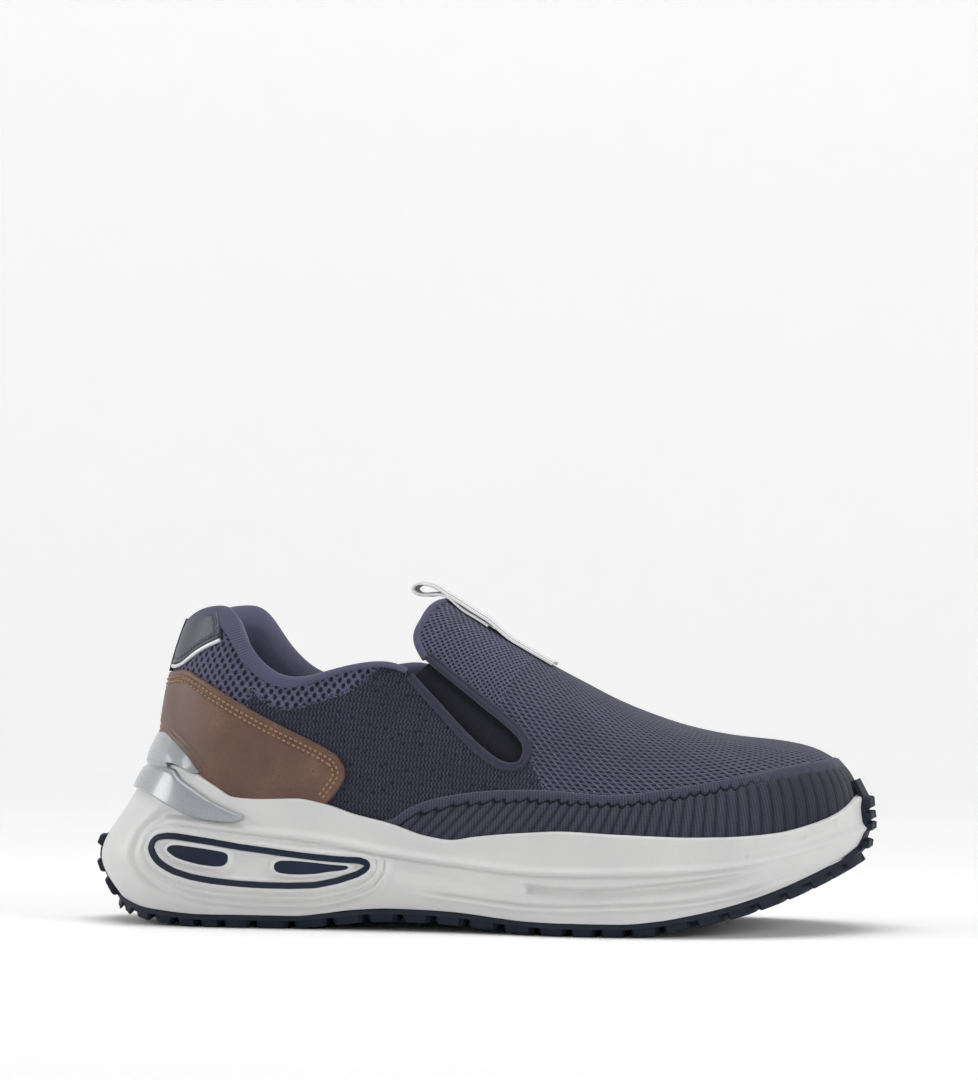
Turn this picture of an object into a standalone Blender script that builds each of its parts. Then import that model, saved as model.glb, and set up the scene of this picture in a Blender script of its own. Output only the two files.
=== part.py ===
"""Slip-on knit sneaker for the right foot, standing empty on its sole.

Metres, +X to the toe, +Y to the inner side, +Z up. The origin is on the floor under the heel.
The whole shoe hangs on one form, the last: a footprint and a middle line over the foot, joined
by rounded sections. A place on it is a side (-1 outer, +1 inner), a share of the length from
heel (0) to toe (1) and a share of the way up from the sole edge (0) to the middle line (1).
"""
import bmesh
import bpy
import numpy as np

MM = 0.001

# Driving dimensions
upper_length = 268.4 * MM
ball_width = 100 * MM
instep_height = 121 * MM
heel_stack = 34 * MM
wall_height = 48 * MM
heel_setback = 31 * MM
heel_round = 36 * MM
toe_round = 74 * MM
heel_square = 2.0
toe_square = 2.45
ridge_back = 62 * MM
ridge_front = 46 * MM

# Clearances
fit_gap = 0.3 * MM
cup_gap = 0.4 * MM
lining_gap = 0.5 * MM
panel_clearance = 1.0 * MM

# Upper and what is sewn to it
upper_wall = 2.2 * MM
rand_step = 0.8 * MM
panel_thickness = 1.2 * MM
tab_thickness = 1.0 * MM
piping_width = 1.6 * MM
piping_thickness = 1.0 * MM
strap_width = 8 * MM
strap_thickness = 1.0 * MM
binding_width = 4.2 * MM
binding_thickness = 0.9 * MM
gore_margin = 3.0 * MM
gore_thickness = 1.0 * MM
lining_padding = 9 * MM
lining_edge = 3 * MM
insole_thickness = 4 * MM
loop_width = 14 * MM
loop_thickness = 1.2 * MM
loop_reach = 14.3 * MM
loop_gap = 0.6 * MM
loop_front = 43 * MM
loop_overlap = 15 * MM
loop_bend = 8 * MM
loop_lift = 4 * MM
loop_edge = 1 * MM

# Sole
sole_flare = 21.5 * MM
rib_depth = 1.3 * MM
sheet_thickness = 1.7 * MM
lug_height = 3.0 * MM
lug_taper = 2.0 * MM
outsole_overhang = 0.2 * MM
toe_wrap_height = 54.5 * MM
wrap_gap = 0.5 * MM
wrap_lug_height = 2.2 * MM
smallest_lug = 3.6 * MM
window_depth = 1.5 * MM
window_proud = 0.2 * MM
cutter_reach = 4 * MM
ring_width = 2.1 * MM
clip_thickness = 1.3 * MM
clip_gap = 0.7 * MM
clip_lip = 0.5 * MM
clip_roll = 0.35

# Fineness of the mesh
stations = 30
lug_columns = 5
heel_wrap_columns = 1
toe_wrap_columns = 1
turn_weight = 35 * MM
# Shortest column kept before the end of a piece, as a share of the length
short_column = 0.008
# How far a piece stops below the collar's edge, or a lining stands above it, as a share of the way up
collar_lap = 0.004

weld = 0.01 * MM
under_foot = 1
round_edge = 2
tread_depth = lug_height + sheet_thickness + fit_gap

# Share of the length; centre, outer half and inner half of the width, as shares of the ball width
footprint_table = np.array([
    (0.00, 0.000, 0.310, 0.310),
    (0.15, 0.000, 0.340, 0.330),
    (0.30, -0.010, 0.345, 0.325),
    (0.42, -0.020, 0.365, 0.330),
    (0.55, -0.020, 0.430, 0.385),
    (0.66, 0.000, 0.495, 0.460),
    (0.75, 0.025, 0.500, 0.470),
    (0.88, 0.060, 0.470, 0.420),
    (1.00, 0.080, 0.430, 0.360),
])

# Share of the length; footbed as a share of the heel stack; middle line as a share of the
# instep height; squareness of the section
section_table = np.array([
    (0.00, 1.000, 1.240, 2.40),
    (0.15, 0.970, 1.240, 2.40),
    (0.30, 0.882, 1.165, 2.20),
    (0.43, 0.794, 1.004, 2.00),
    (0.52, 0.735, 0.880, 1.95),
    (0.60, 0.676, 0.777, 1.95),
    (0.70, 0.632, 0.669, 2.05),
    (0.80, 0.647, 0.603, 2.30),
    (0.90, 0.765, 0.583, 2.70),
    (1.00, 1.000, 0.587, 3.00),
])

# Share of the length; share of the way up on the outer side and on the inner side
topline_table = np.array([
    (0.000, 0.440, 0.440),
    (0.028, 0.472, 0.472),
    (0.052, 0.482, 0.482),
    (0.076, 0.478, 0.478),
    (0.100, 0.446, 0.448),
    (0.131, 0.382, 0.388),
    (0.164, 0.332, 0.338),
    (0.208, 0.312, 0.312),
    (0.261, 0.358, 0.345),
    (0.313, 0.424, 0.410),
    (0.345, 0.455, 0.447),
    (0.373, 0.462, 0.462),
])

# Edge of the elastic slot from the collar down, round its lower end and up to the tongue:
# share of the length, share of the way up
slot_table = np.array([
    (0.373, 0.462),
    (0.399, 0.437),
    (0.422, 0.415),
    (0.446, 0.389),
    (0.469, 0.364),
    (0.489, 0.344),
    (0.510, 0.328),
    (0.530, 0.321),
    (0.546, 0.332),
    (0.556, 0.362),
    (0.557, 0.402),
    (0.546, 0.434),
    (0.521, 0.461),
    (0.490, 0.482),
    (0.454, 0.504),
    (0.414, 0.525),
    (0.386, 0.540),
])
slot_end = 8

# Edge of the tongue from the slot to the middle line
tongue_table = np.array([
    (0.386, 0.540),
    (0.370, 0.572),
    (0.362, 0.609),
    (0.359, 0.677),
    (0.354, 0.766),
    (0.349, 0.848),
    (0.332, 1.000),
])

# Upper edge of the ribbed rand round the foot
rand_table = np.array([
    (0.000, 0.050),
    (0.300, 0.050),
    (0.368, 0.071),
    (0.396, 0.110),
    (0.424, 0.143),
    (0.466, 0.182),
    (0.524, 0.229),
    (0.611, 0.287),
    (0.697, 0.323),
    (0.754, 0.364),
    (0.811, 0.405),
    (0.895, 0.457),
    (0.952, 0.498),
    (1.000, 0.512),
])
rand_start = 0.33
rand_full = 0.40

# Side wall of the midsole. Share of the length; top edge, and rise of the bottom edge above the
# tread, both as shares of the wall height
wall_table = np.array([
    (0.000, 1.260, 0.125),
    (0.020, 1.264, 0.075),
    (0.040, 1.266, 0.035),
    (0.060, 1.255, 0.018),
    (0.085, 1.205, 0.004),
    (0.102, 1.150, 0.000),
    (0.119, 1.095, 0.000),
    (0.145, 1.015, 0.000),
    (0.182, 1.002, 0.000),
    (0.235, 1.010, 0.000),
    (0.279, 0.967, 0.025),
    (0.317, 0.900, 0.054),
    (0.374, 0.825, 0.072),
    (0.423, 0.740, 0.068),
    (0.461, 0.711, 0.060),
    (0.494, 0.738, 0.046),
    (0.532, 0.762, 0.024),
    (0.573, 0.780, 0.006),
    (0.619, 0.794, 0.000),
    (0.700, 0.775, 0.000),
    (0.744, 0.765, 0.020),
    (0.792, 0.756, 0.067),
    (0.839, 0.758, 0.130),
    (0.874, 0.768, 0.192),
    (0.907, 0.788, 0.262),
    (0.941, 0.836, 0.348),
    (0.972, 0.905, 0.438),
    (0.988, 0.970, 0.500),
    (1.000, 1.050, 0.560),
])

# How far the wall stands out from the footprint, as shares of the flare: share of the length;
# bottom edge, belly, shoulder, top edge
flare_table = np.array([
    (0.00, 0.67, 1.00, 0.62, 0.115),
    (0.03, 0.56, 0.91, 0.58, 0.115),
    (0.06, 0.40, 0.73, 0.49, 0.120),
    (0.10, 0.27, 0.53, 0.38, 0.125),
    (0.16, 0.20, 0.40, 0.29, 0.133),
    (0.25, 0.18, 0.38, 0.27, 0.133),
    (0.35, 0.16, 0.36, 0.27, 0.133),
    (0.45, 0.13, 0.29, 0.24, 0.133),
    (0.60, 0.16, 0.27, 0.22, 0.142),
    (0.75, 0.16, 0.27, 0.22, 0.142),
    (0.90, 0.11, 0.22, 0.19, 0.133),
    (1.00, 0.04, 0.15, 0.14, 0.115),
])
flare_levels = np.array([0.0, 0.28, 0.62, 1.0])

# Steps of the wall beside the forefoot: share of the wall from bottom to top; step outward as a
# share of the rib depth
rib_table = np.array([
    (0.00, 0.0),
    (0.14, 0.5),
    (0.28, 0.8),
    (0.34, -0.2),
    (0.44, 0.0),
    (0.48, -1.0),
    (0.56, -1.0),
    (0.60, 0.0),
    (0.69, 0.2),
    (0.74, -0.5),
    (1.00, 0.0),
])
heel_wrap_levels = rib_table[1:5, 0]
toe_wrap_levels = np.array([0.14, 0.28, 0.48, 0.69, 1.0, 1.1])
rib_fade = np.array([(0.40, 0.0), (0.52, 1.0), (0.88, 1.0), (0.97, 0.0)])

# Window in the heel of the wall: share of the length; lower and upper edge as shares of the
# wall height
window_table = np.array([
    (0.057, 0.610, 0.675),
    (0.061, 0.553, 0.715),
    (0.066, 0.504, 0.729),
    (0.073, 0.462, 0.737),
    (0.084, 0.417, 0.734),
    (0.102, 0.377, 0.716),
    (0.124, 0.350, 0.695),
    (0.161, 0.328, 0.658),
    (0.197, 0.319, 0.634),
    (0.233, 0.318, 0.610),
    (0.271, 0.327, 0.588),
    (0.305, 0.366, 0.575),
    (0.335, 0.422, 0.570),
    (0.346, 0.458, 0.552),
    (0.351, 0.490, 0.523),
])
rear_bar_table = np.array([
    (0.076, 0.600, 0.625),
    (0.079, 0.581, 0.642),
    (0.086, 0.547, 0.646),
    (0.097, 0.521, 0.638),
    (0.113, 0.494, 0.624),
    (0.130, 0.481, 0.607),
    (0.139, 0.484, 0.595),
    (0.144, 0.506, 0.583),
    (0.146, 0.530, 0.558),
])
front_bar_table = np.array([
    (0.211, 0.472, 0.510),
    (0.214, 0.450, 0.525),
    (0.220, 0.438, 0.537),
    (0.235, 0.430, 0.538),
    (0.250, 0.429, 0.534),
    (0.271, 0.436, 0.525),
    (0.292, 0.455, 0.514),
    (0.307, 0.464, 0.509),
    (0.316, 0.474, 0.507),
    (0.320, 0.485, 0.494),
])

# Heel clip: share of the length; lower edge, top of the lower prong, top edge of the clip, as
# shares of the wall height
clip_table = np.array([
    (0.000, 1.060, 1.240, 1.500),
    (0.022, 1.050, 1.240, 1.500),
    (0.045, 1.005, 1.240, 1.435),
    (0.060, 0.960, 1.225, 1.375),
    (0.073, 0.925, 1.155, 1.315),
    (0.095, 0.867, 1.075, 1.180),
    (0.119, 0.833, 0.985, 1.100),
    (0.146, 0.822, 0.910, 1.100),
    (0.163, 0.838, 0.875, 1.100),
])
clip_fork = 0.050
clip_upper_tip = 0.092
clip_lower_tip = 0.163

# Counter panel: top edge from the back to the front, and its front edge from the sole up
counter_top_table = np.array([
    (0.000, 0.300),
    (0.021, 0.306),
    (0.039, 0.309),
    (0.067, 0.293),
    (0.105, 0.264),
    (0.148, 0.233),
    (0.189, 0.211),
    (0.230, 0.195),
    (0.269, 0.183),
    (0.289, 0.175),
])
counter_front_table = np.array([
    (0.276, 0.078),
    (0.283, 0.090),
    (0.297, 0.119),
    (0.303, 0.141),
    (0.300, 0.159),
    (0.289, 0.175),
])

# Heel tab: lower edge from the back to the front, and its front edge up to the collar
tab_low_table = np.array([
    (0.000, 0.325),
    (0.031, 0.331),
    (0.047, 0.352),
    (0.066, 0.374),
    (0.088, 0.394),
])
tab_front_table = np.array([
    (0.088, 0.394),
    (0.080, 0.429),
    (0.066, 0.468),
])

# Padding of the collar from its top edge down, as shares of the lining's depth and thickness
padding_table = np.array([
    (0.00, 0.40),
    (0.10, 0.85),
    (0.28, 1.00),
    (0.55, 0.72),
    (0.80, 0.38),
    (1.00, 0.20),
])
lining_front = 0.335
lining_drop = 0.27

# Loop of the pull tab behind the tongue's edge: back and up, as shares of its reach
loop_table = np.array([
    (0.10, 0.26),
    (0.40, 0.43),
    (0.70, 0.50),
    (0.93, 0.46),
    (1.00, 0.34),
    (0.92, 0.26),
    (0.55, 0.22),
    (0.12, 0.21),
])


def smooth(xs, ys, at):
    """Natural cubic curve through the points of a table."""
    xs = np.asarray(xs, float)
    ys = np.asarray(ys, float)
    at = np.clip(np.asarray(at, float), xs[0], xs[-1])
    count = len(xs)
    step = np.diff(xs)
    system = np.eye(count)
    target = np.zeros(count)
    for i in range(1, count - 1):
        system[i, i - 1:i + 2] = step[i - 1], 2 * (step[i - 1] + step[i]), step[i]
        target[i] = 6 * ((ys[i + 1] - ys[i]) / step[i] - (ys[i] - ys[i - 1]) / step[i - 1])
    bend = np.linalg.solve(system, target)
    i = np.clip(np.searchsorted(xs, at, side="right") - 1, 0, count - 2)
    left = at - xs[i]
    right = xs[i + 1] - at
    cubes = (bend[i] * right**3 + bend[i + 1] * left**3) / (6 * step[i])
    from_left = (ys[i] / step[i] - bend[i] * step[i] / 6) * right
    from_right = (ys[i + 1] / step[i] - bend[i + 1] * step[i] / 6) * left
    return cubes + from_left + from_right


def steady(xs, ys, at):
    """Curve through the points of a table that never swings past them."""
    xs = np.asarray(xs, float)
    ys = np.asarray(ys, float)
    at = np.clip(np.asarray(at, float), xs[0], xs[-1])
    step = np.diff(xs)
    slope = np.diff(ys) / step
    tangent = np.zeros(len(xs))
    same_way = slope[:-1] * slope[1:] > 0
    before = 2 * step[1:] + step[:-1]
    after = step[1:] + 2 * step[:-1]
    safe_back = np.where(same_way, slope[:-1], 1)
    safe_front = np.where(same_way, slope[1:], 1)
    tangent[1:-1] = np.where(same_way, (before + after) / (before / safe_back + after / safe_front), 0)
    tangent[0] = slope[0]
    tangent[-1] = slope[-1]
    i = np.clip(np.searchsorted(xs, at, side="right") - 1, 0, len(xs) - 2)
    t = (at - xs[i]) / step[i]
    hold = ys[i] * (1 + 2 * t) * (1 - t)**2 + ys[i + 1] * t * t * (3 - 2 * t)
    swing = step[i] * (tangent[i] * t * (1 - t)**2 + tangent[i + 1] * t * t * (t - 1))
    return hold + swing


def trace(table, shares):
    """Points at shares of the way along a smooth curve through a table's rows."""
    table = np.asarray(table, float)
    walked = np.concatenate([[0], np.cumsum(np.linalg.norm(np.diff(table, axis=0), axis=1))])
    at = np.asarray(shares, float) * walked[-1]
    return np.stack([smooth(walked, table[:, i], at) for i in range(table.shape[1])], -1)


def rounding(distance, radius, square):
    reach = np.clip(distance / radius, 0, 1)
    return (1 - (1 - reach)**square)**(1 / square)


def middle(along):
    return smooth(footprint_table[:, 0], footprint_table[:, 1], along) * ball_width


def footprint(side, along):
    """Edge of the foot's outline at the footbed."""
    along = np.asarray(along, float)
    x = along * upper_length
    half = smooth(footprint_table[:, 0], footprint_table[:, 2 if side < 0 else 3], along) * ball_width
    half = half * rounding(x, heel_round, heel_square) * rounding(upper_length - x, toe_round, toe_square)
    return x - heel_setback, middle(along) + side * half


def outward(side, along):
    """Direction out of the footprint, level with the floor."""
    along = np.asarray(along, float)
    turn = np.arccos(np.clip(1 - 2 * along, -1, 1))
    small = 0.01
    back = np.clip(turn - small, 0, np.pi)
    front = np.clip(turn + small, 0, np.pi)
    x0, y0 = footprint(side, (1 - np.cos(back)) / 2)
    x1, y1 = footprint(side, (1 - np.cos(front)) / 2)
    across = -side * (y1 - y0)
    ahead = side * (x1 - x0)
    across = np.where(turn < small / 2, -1.0, np.where(turn > np.pi - small / 2, 1.0, across))
    ahead = np.where((turn < small / 2) | (turn > np.pi - small / 2), 0.0, ahead)
    length = np.hypot(across, ahead)
    return across / length, ahead / length


def footbed(along):
    return smooth(section_table[:, 0], section_table[:, 1], along) * heel_stack


def squareness(along):
    return smooth(section_table[:, 0], section_table[:, 3], along)


def ridge_height(x):
    along = (x + heel_setback) / upper_length
    return smooth(section_table[:, 0], section_table[:, 2], along) * instep_height


def last(side, along, up):
    """Outer surface of the upper."""
    along, up = np.broadcast_arrays(np.asarray(along, float), np.asarray(up, float))
    edge_x, edge_y = footprint(side, along)
    ridge_x = -heel_setback + ridge_back + (upper_length - ridge_back - ridge_front) * along
    ridge_y = middle((ridge_x + heel_setback) / upper_length)
    power = 2 / squareness(along)
    angle = np.clip(up, 0, 1) * np.pi / 2
    inward = 1 - np.clip(np.cos(angle), 0, 1)**power
    rise = np.sin(angle)**power
    x = edge_x + (ridge_x - edge_x) * inward
    y = edge_y + (ridge_y - edge_y) * inward
    low = footbed(along)
    return np.stack([x, y, low + (ridge_height(x) - low) * rise], -1)


def last_normal(side, along, up):
    along, up = np.broadcast_arrays(np.asarray(along, float), np.asarray(up, float))
    turn = np.arccos(np.clip(1 - 2 * along, -1, 1))
    small = 0.01
    back = (1 - np.cos(np.clip(turn - small, 0, np.pi))) / 2
    front = (1 - np.cos(np.clip(turn + small, 0, np.pi))) / 2
    ahead = last(side, front, np.minimum(up, 0.995)) - last(side, back, np.minimum(up, 0.995))
    climb = last(side, along, np.minimum(up + 0.004, 1)) - last(side, along, np.maximum(up - 0.004, 0))
    normal = -side * np.cross(ahead, climb)
    return normal / np.linalg.norm(normal, axis=-1, keepdims=True)


def skin(side, along, up, offset=0.0):
    """Point a distance outside the last, or inside it where the distance is negative."""
    along, up = np.broadcast_arrays(np.asarray(along, float), np.asarray(up, float))
    normal = last_normal(side, along, up)
    seam = (along < 1e-6) | (along > 1 - 1e-6) | (up > 1 - 1e-6)
    both = normal + last_normal(-side, along, up)
    both = both / np.linalg.norm(both, axis=-1, keepdims=True)
    normal = np.where(seam[..., None], both, normal)
    return last(side, along, up) + normal * np.asarray(offset, float)[..., None]


def up_at(side, along, height):
    """Share of the way up at which the last reaches a height."""
    shares = np.linspace(0, 0.8, 401)
    along, height = np.broadcast_arrays(np.asarray(along, float), np.asarray(height, float))
    found = [np.interp(h, last(side, a, shares)[:, 2], shares) for a, h in zip(along.ravel(), height.ravel())]
    return np.array(found).reshape(along.shape)


def over_instep(x, across):
    """Height of the upper beside its middle line."""
    x, across = np.broadcast_arrays(np.asarray(x, float), np.asarray(across, float))
    inward = np.ones(x.shape)
    centre = middle((x + heel_setback) / upper_length)
    for _ in range(12):
        span = upper_length * (1 - inward) + (upper_length - ridge_back - ridge_front) * inward
        along = (x + heel_setback - ridge_back * inward) / span
        outer = footprint(-1, along)[1]
        inner = footprint(1, along)[1]
        edge = np.where(across < 0, outer, inner)
        inward = np.clip(1 - across / (edge - centre), 0.05, 1)
    power = 2 / squareness(along)
    angle = np.arccos(np.clip((1 - inward)**(1 / power), 0, 1))
    low = footbed(along)
    return low + (ridge_height(x) - low) * np.sin(angle)**power


def beside(side, curve, distance):
    """Curve on the last, moved sideways by a distance seen from the side."""
    def flat(points):
        return last(side, points[:, 0], points[:, 1])[:, [0, 2]]
    small = 1e-3
    place = flat(curve)
    tangent = np.gradient(place, axis=0)
    tangent /= np.linalg.norm(tangent, axis=1, keepdims=True)
    move = np.stack([tangent[:, 1], -tangent[:, 0]], -1) * distance
    by_along = (flat(curve + [small, 0]) - place) / small
    by_up = (flat(curve + [0, small]) - place) / small
    area = by_along[:, 0] * by_up[:, 1] - by_along[:, 1] * by_up[:, 0]
    along = (move[:, 0] * by_up[:, 1] - move[:, 1] * by_up[:, 0]) / area
    up = (by_along[:, 0] * move[:, 1] - by_along[:, 1] * move[:, 0]) / area
    return curve + np.stack([along, up], -1)


def coons(low, high, left, right):
    """Grid between four curves that share their corners, rows from low to high."""
    rows = np.linspace(0, 1, len(left))[:, None, None]
    columns = np.linspace(0, 1, len(low))[None, :, None]
    between_rows = (1 - rows) * low[None] + rows * high[None]
    between_columns = (1 - columns) * left[:, None] + columns * right[:, None]
    corners = ((1 - rows) * ((1 - columns) * low[0] + columns * low[-1])
               + rows * ((1 - columns) * high[0] + columns * high[-1]))
    return between_rows + between_columns - corners


def topline(side, along):
    return smooth(topline_table[:, 0], topline_table[:, 1 if side < 0 else 2], along)


def rand_edge(along):
    return steady(rand_table[:, 0], rand_table[:, 1], along)


def rand_offset(along):
    return rand_step * np.clip((np.asarray(along) - rand_start) / (rand_full - rand_start), 0, 1)


def wall_top(along):
    return steady(wall_table[:, 0], wall_table[:, 1], along) * wall_height


def wall_bottom(along):
    return tread_depth + steady(wall_table[:, 0], wall_table[:, 2], along) * wall_height


def wall(side, along, level, offset=0.0):
    """Outer wall of the midsole, level 0 at its bottom edge and 1 at its top edge."""
    along, level = np.broadcast_arrays(np.asarray(along, float), np.asarray(level, float))
    knots = [smooth(flare_table[:, 0], flare_table[:, i], along) * sole_flare for i in range(1, 5)]
    flare = np.empty(along.shape)
    for place in np.ndindex(along.shape):
        flare[place] = smooth(flare_levels, [knot[place] for knot in knots], level[place])
    fade = np.interp(along, rib_fade[:, 0], rib_fade[:, 1])
    flare = flare + np.interp(level, rib_table[:, 0], rib_table[:, 1]) * fade * rib_depth
    x, y = footprint(side, along)
    out_x, out_y = outward(side, along)
    bottom = wall_bottom(along)
    z = bottom + (wall_top(along) - bottom) * level
    return np.stack([x + out_x * (flare + offset), y + out_y * (flare + offset), z], -1)


def wall_at(side, along, height, offset=0.0):
    bottom = wall_bottom(along)
    return wall(side, along, (height - bottom) / (wall_top(along) - bottom), offset)


def station_shares():
    """Shares of the length, closer where the footprint turns, with a lug over the origin."""
    share = (1 - np.cos(np.linspace(0, np.pi, 2001))) / 2
    x, y = footprint(-1, share)
    across, ahead = outward(-1, share)
    turned = np.abs(np.diff(np.unwrap(np.arctan2(ahead, across))))
    walked = np.concatenate([[0], np.cumsum(np.hypot(np.diff(x), np.diff(y)) + turn_weight * turned)])
    even = np.interp(np.linspace(0, walked[-1], stations + 1), walked, share)
    origin = heel_setback / upper_length
    nearest = np.searchsorted(even, origin)
    shift = origin - (even[nearest - 1] + even[nearest]) / 2
    return even + shift * np.sin(np.pi * even) / np.sin(np.pi * origin)


def finer(shares):
    middles = (shares[:-1] + shares[1:]) / 2
    return np.sort(np.concatenate([shares, middles]))


def material(name, colour, roughness, metallic=0.0):
    made = bpy.data.materials.new(name)
    made.use_nodes = True
    shader = made.node_tree.nodes["Principled BSDF"]
    channels = [int(colour[i:i + 2], 16) / 255 for i in (1, 3, 5)]
    linear = [c / 12.92 if c <= 0.04045 else ((c + 0.055) / 1.055)**2.4 for c in channels]
    shader.inputs["Base Color"].default_value = (*linear, 1)
    shader.inputs["Roughness"].default_value = roughness
    shader.inputs["Metallic"].default_value = metallic
    made.diffuse_color = (*linear, 1)
    return made


def add_grid(mesh, grid, layer=None, under=None, keep=None):
    """Quads between the rows and columns of a grid of points."""
    corners = []
    made = []
    for i, row in enumerate(grid):
        corners.append([mesh.verts.new(point) for point in row])
        if layer is not None:
            for vertex, point in zip(corners[-1], under[i]):
                vertex[layer] = point
    for i in range(len(corners) - 1):
        for j in range(len(corners[0]) - 1):
            if keep is None or keep[i, j]:
                made.append(mesh.faces.new(
                    (corners[i][j], corners[i][j + 1], corners[i + 1][j + 1], corners[i + 1][j])))
    return made


def tidy(mesh):
    """Weld the seams and drop loose points and faces without area."""
    bmesh.ops.remove_doubles(mesh, verts=mesh.verts, dist=weld)
    bmesh.ops.delete(mesh, geom=[v for v in mesh.verts if not v.link_faces], context="VERTS")


def face_out(mesh):
    bmesh.ops.recalc_face_normals(mesh, faces=mesh.faces)
    if mesh.calc_volume(signed=True) < 0:
        bmesh.ops.reverse_faces(mesh, faces=mesh.faces)


def place(name, mesh, look, smooth_angle=40):
    face_out(mesh)
    data = bpy.data.meshes.new(name)
    mesh.to_mesh(data)
    mesh.free()
    data.materials.append(look)
    data.shade_smooth()
    data.set_sharp_from_angle(angle=np.radians(smooth_angle))
    made = bpy.data.objects.new(name, data)
    bpy.context.scene.collection.objects.link(made)
    return made


def shell(name, patches, look):
    """Solid between an outer sheet and an inner one; a patch is (outer, inner) or (outer, inner, keep)."""
    mesh = bmesh.new()
    layer = mesh.verts.layers.float_vector.new("under")
    for patch in patches:
        keep = patch[2] if len(patch) > 2 else None
        add_grid(mesh, patch[0], layer, patch[1], keep)
    tidy(mesh)
    bmesh.ops.recalc_face_normals(mesh, faces=mesh.faces)
    rim = [edge for edge in mesh.edges if edge.is_boundary]
    outer_faces = list(mesh.faces)
    twin = {vertex: mesh.verts.new(vertex[layer]) for vertex in list(mesh.verts)}
    for face in outer_faces:
        mesh.faces.new([twin[vertex] for vertex in reversed(face.verts)])
    for edge in rim:
        first, second = edge.verts
        mesh.faces.new((first, second, twin[second], twin[first]))
    return place(name, mesh, look)


def solid(name, grids, look):
    """Closed solid from grids that meet along their edges."""
    mesh = bmesh.new()
    for grid in grids:
        add_grid(mesh, grid)
    tidy(mesh)
    return place(name, mesh, look)


def ladder(outer_edge, inner_edge, shares):
    """Rows from heel to toe between the two sides of an outline."""
    shares = np.asarray(shares)[None, :, None]
    return outer_edge[:, None] * (1 - shares) + inner_edge[:, None] * shares


def build_upper(shares, look):
    slot_station = int(np.argmin(abs(shares - slot_table[slot_end, 0])))
    quarter = shares[:slot_station + 1]
    vamp = shares[slot_station:]
    edge_rows = 4
    tongue_rows = 4
    rear = trace(slot_table[:slot_end + 1], np.linspace(1, 0, edge_rows + 1))
    front = trace(slot_table[slot_end:], np.linspace(0, 1, edge_rows + 1))
    tongue = trace(tongue_table, np.linspace(0, 1, tongue_rows + 1))
    foot = np.array([shares[slot_station], rand_edge(shares[slot_station])])
    rise = foot + (rear[0] - foot) * np.linspace(0, 1, 3)[:, None]
    rear_column = np.concatenate([rise, rear[1:]])
    front_column = np.concatenate([rise, front[1:], tongue[1:]])
    levels = np.array([0, 0.5, 0.965, 1.0])
    raised = np.array([1, 1, 1, 0])
    patches = []
    for side in (-1, 1):
        up = levels[:, None] * rand_edge(shares)
        out = raised[:, None] * rand_offset(shares)
        along = np.broadcast_to(shares, up.shape)
        patches.append((skin(side, along, up, out), skin(side, along, up, np.full(up.shape, -upper_wall))))
        low = np.stack([quarter, rand_edge(quarter)], -1)
        squeeze = (quarter / quarter[-1])**2
        top_along = quarter * (1 - squeeze) + topline_table[-1, 0] * squeeze * quarter / quarter[-1]
        top_along = np.minimum(top_along, topline_table[-1, 0])
        top = np.stack([top_along, topline(side, top_along)], -1)
        back = np.stack([np.zeros(len(rear_column)), np.linspace(low[0, 1], top[0, 1], len(rear_column))], -1)
        sheets = [coons(low, top, back, rear_column)]
        low = np.stack([vamp, rand_edge(vamp)], -1)
        ridge = np.stack([np.linspace(tongue[-1, 0], 1, len(vamp)), np.ones(len(vamp))], -1)
        toe = np.stack([np.ones(len(front_column)), np.linspace(low[-1, 1], 1, len(front_column))], -1)
        sheets.append(coons(low, ridge, front_column, toe))
        for sheet in sheets:
            along, up = sheet[..., 0], sheet[..., 1]
            flat = np.zeros(up.shape)
            patches.append((skin(side, along, up, flat), skin(side, along, up, flat - upper_wall)))
    return shell("upper", patches, look)


def build_midsole(shares, look):
    levels = rib_table[:, 0]
    grids = []
    deck = {}
    floor = {}
    for side in (-1, 1):
        outer = wall(side, shares[None, :], levels[:, None])
        rim_up = up_at(side, shares, wall_top(shares))
        climb = np.array([1, 0.5, 0])[:, None] * rim_up
        inner = skin(side, np.broadcast_to(shares, climb.shape), climb,
                     np.broadcast_to(rand_offset(shares) + cup_gap, climb.shape))
        inner[0, :, 2] = outer[-1, :, 2]
        inner[-1, :, 2] = footbed(shares) - fit_gap
        grids.append(np.concatenate([outer, inner]))
        deck[side] = inner[-1]
        floor[side] = outer[0]
    grids.append(ladder(deck[-1], deck[1], [0, 0.5, 1]))
    grids.append(ladder(floor[-1], floor[1], [0, 0.5, 1]))
    return solid("midsole", grids, look)


def lens(side, table, offset, columns, rows, margin=0.0):
    """Patch of the wall between the lower and upper edge of a table."""
    along = trace(table, np.linspace(0, 1, columns))[:, 0]
    low = steady(table[:, 0], table[:, 1], along) * wall_height
    high = steady(table[:, 0], table[:, 2], along) * wall_height
    share = np.linspace(0, 1, rows)[:, None]
    height = (low - margin) * (1 - share) + (high + margin) * share
    along = np.broadcast_to(along, height.shape).copy()
    along[:, 0] -= margin / upper_length
    along[:, -1] += margin / upper_length
    return wall_at(side, along, height, offset)


def window_cutter(side):
    cutter = shell(
        "cutter_outer" if side < 0 else "cutter_inner",
        [(lens(side, window_table, cutter_reach, 15, 4, fit_gap),
          lens(side, window_table, -window_depth, 15, 4, fit_gap))],
        material("cutter", "#808080", 0.5))
    cutter.hide_render = True
    cutter.display_type = "WIRE"
    return cutter


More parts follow.
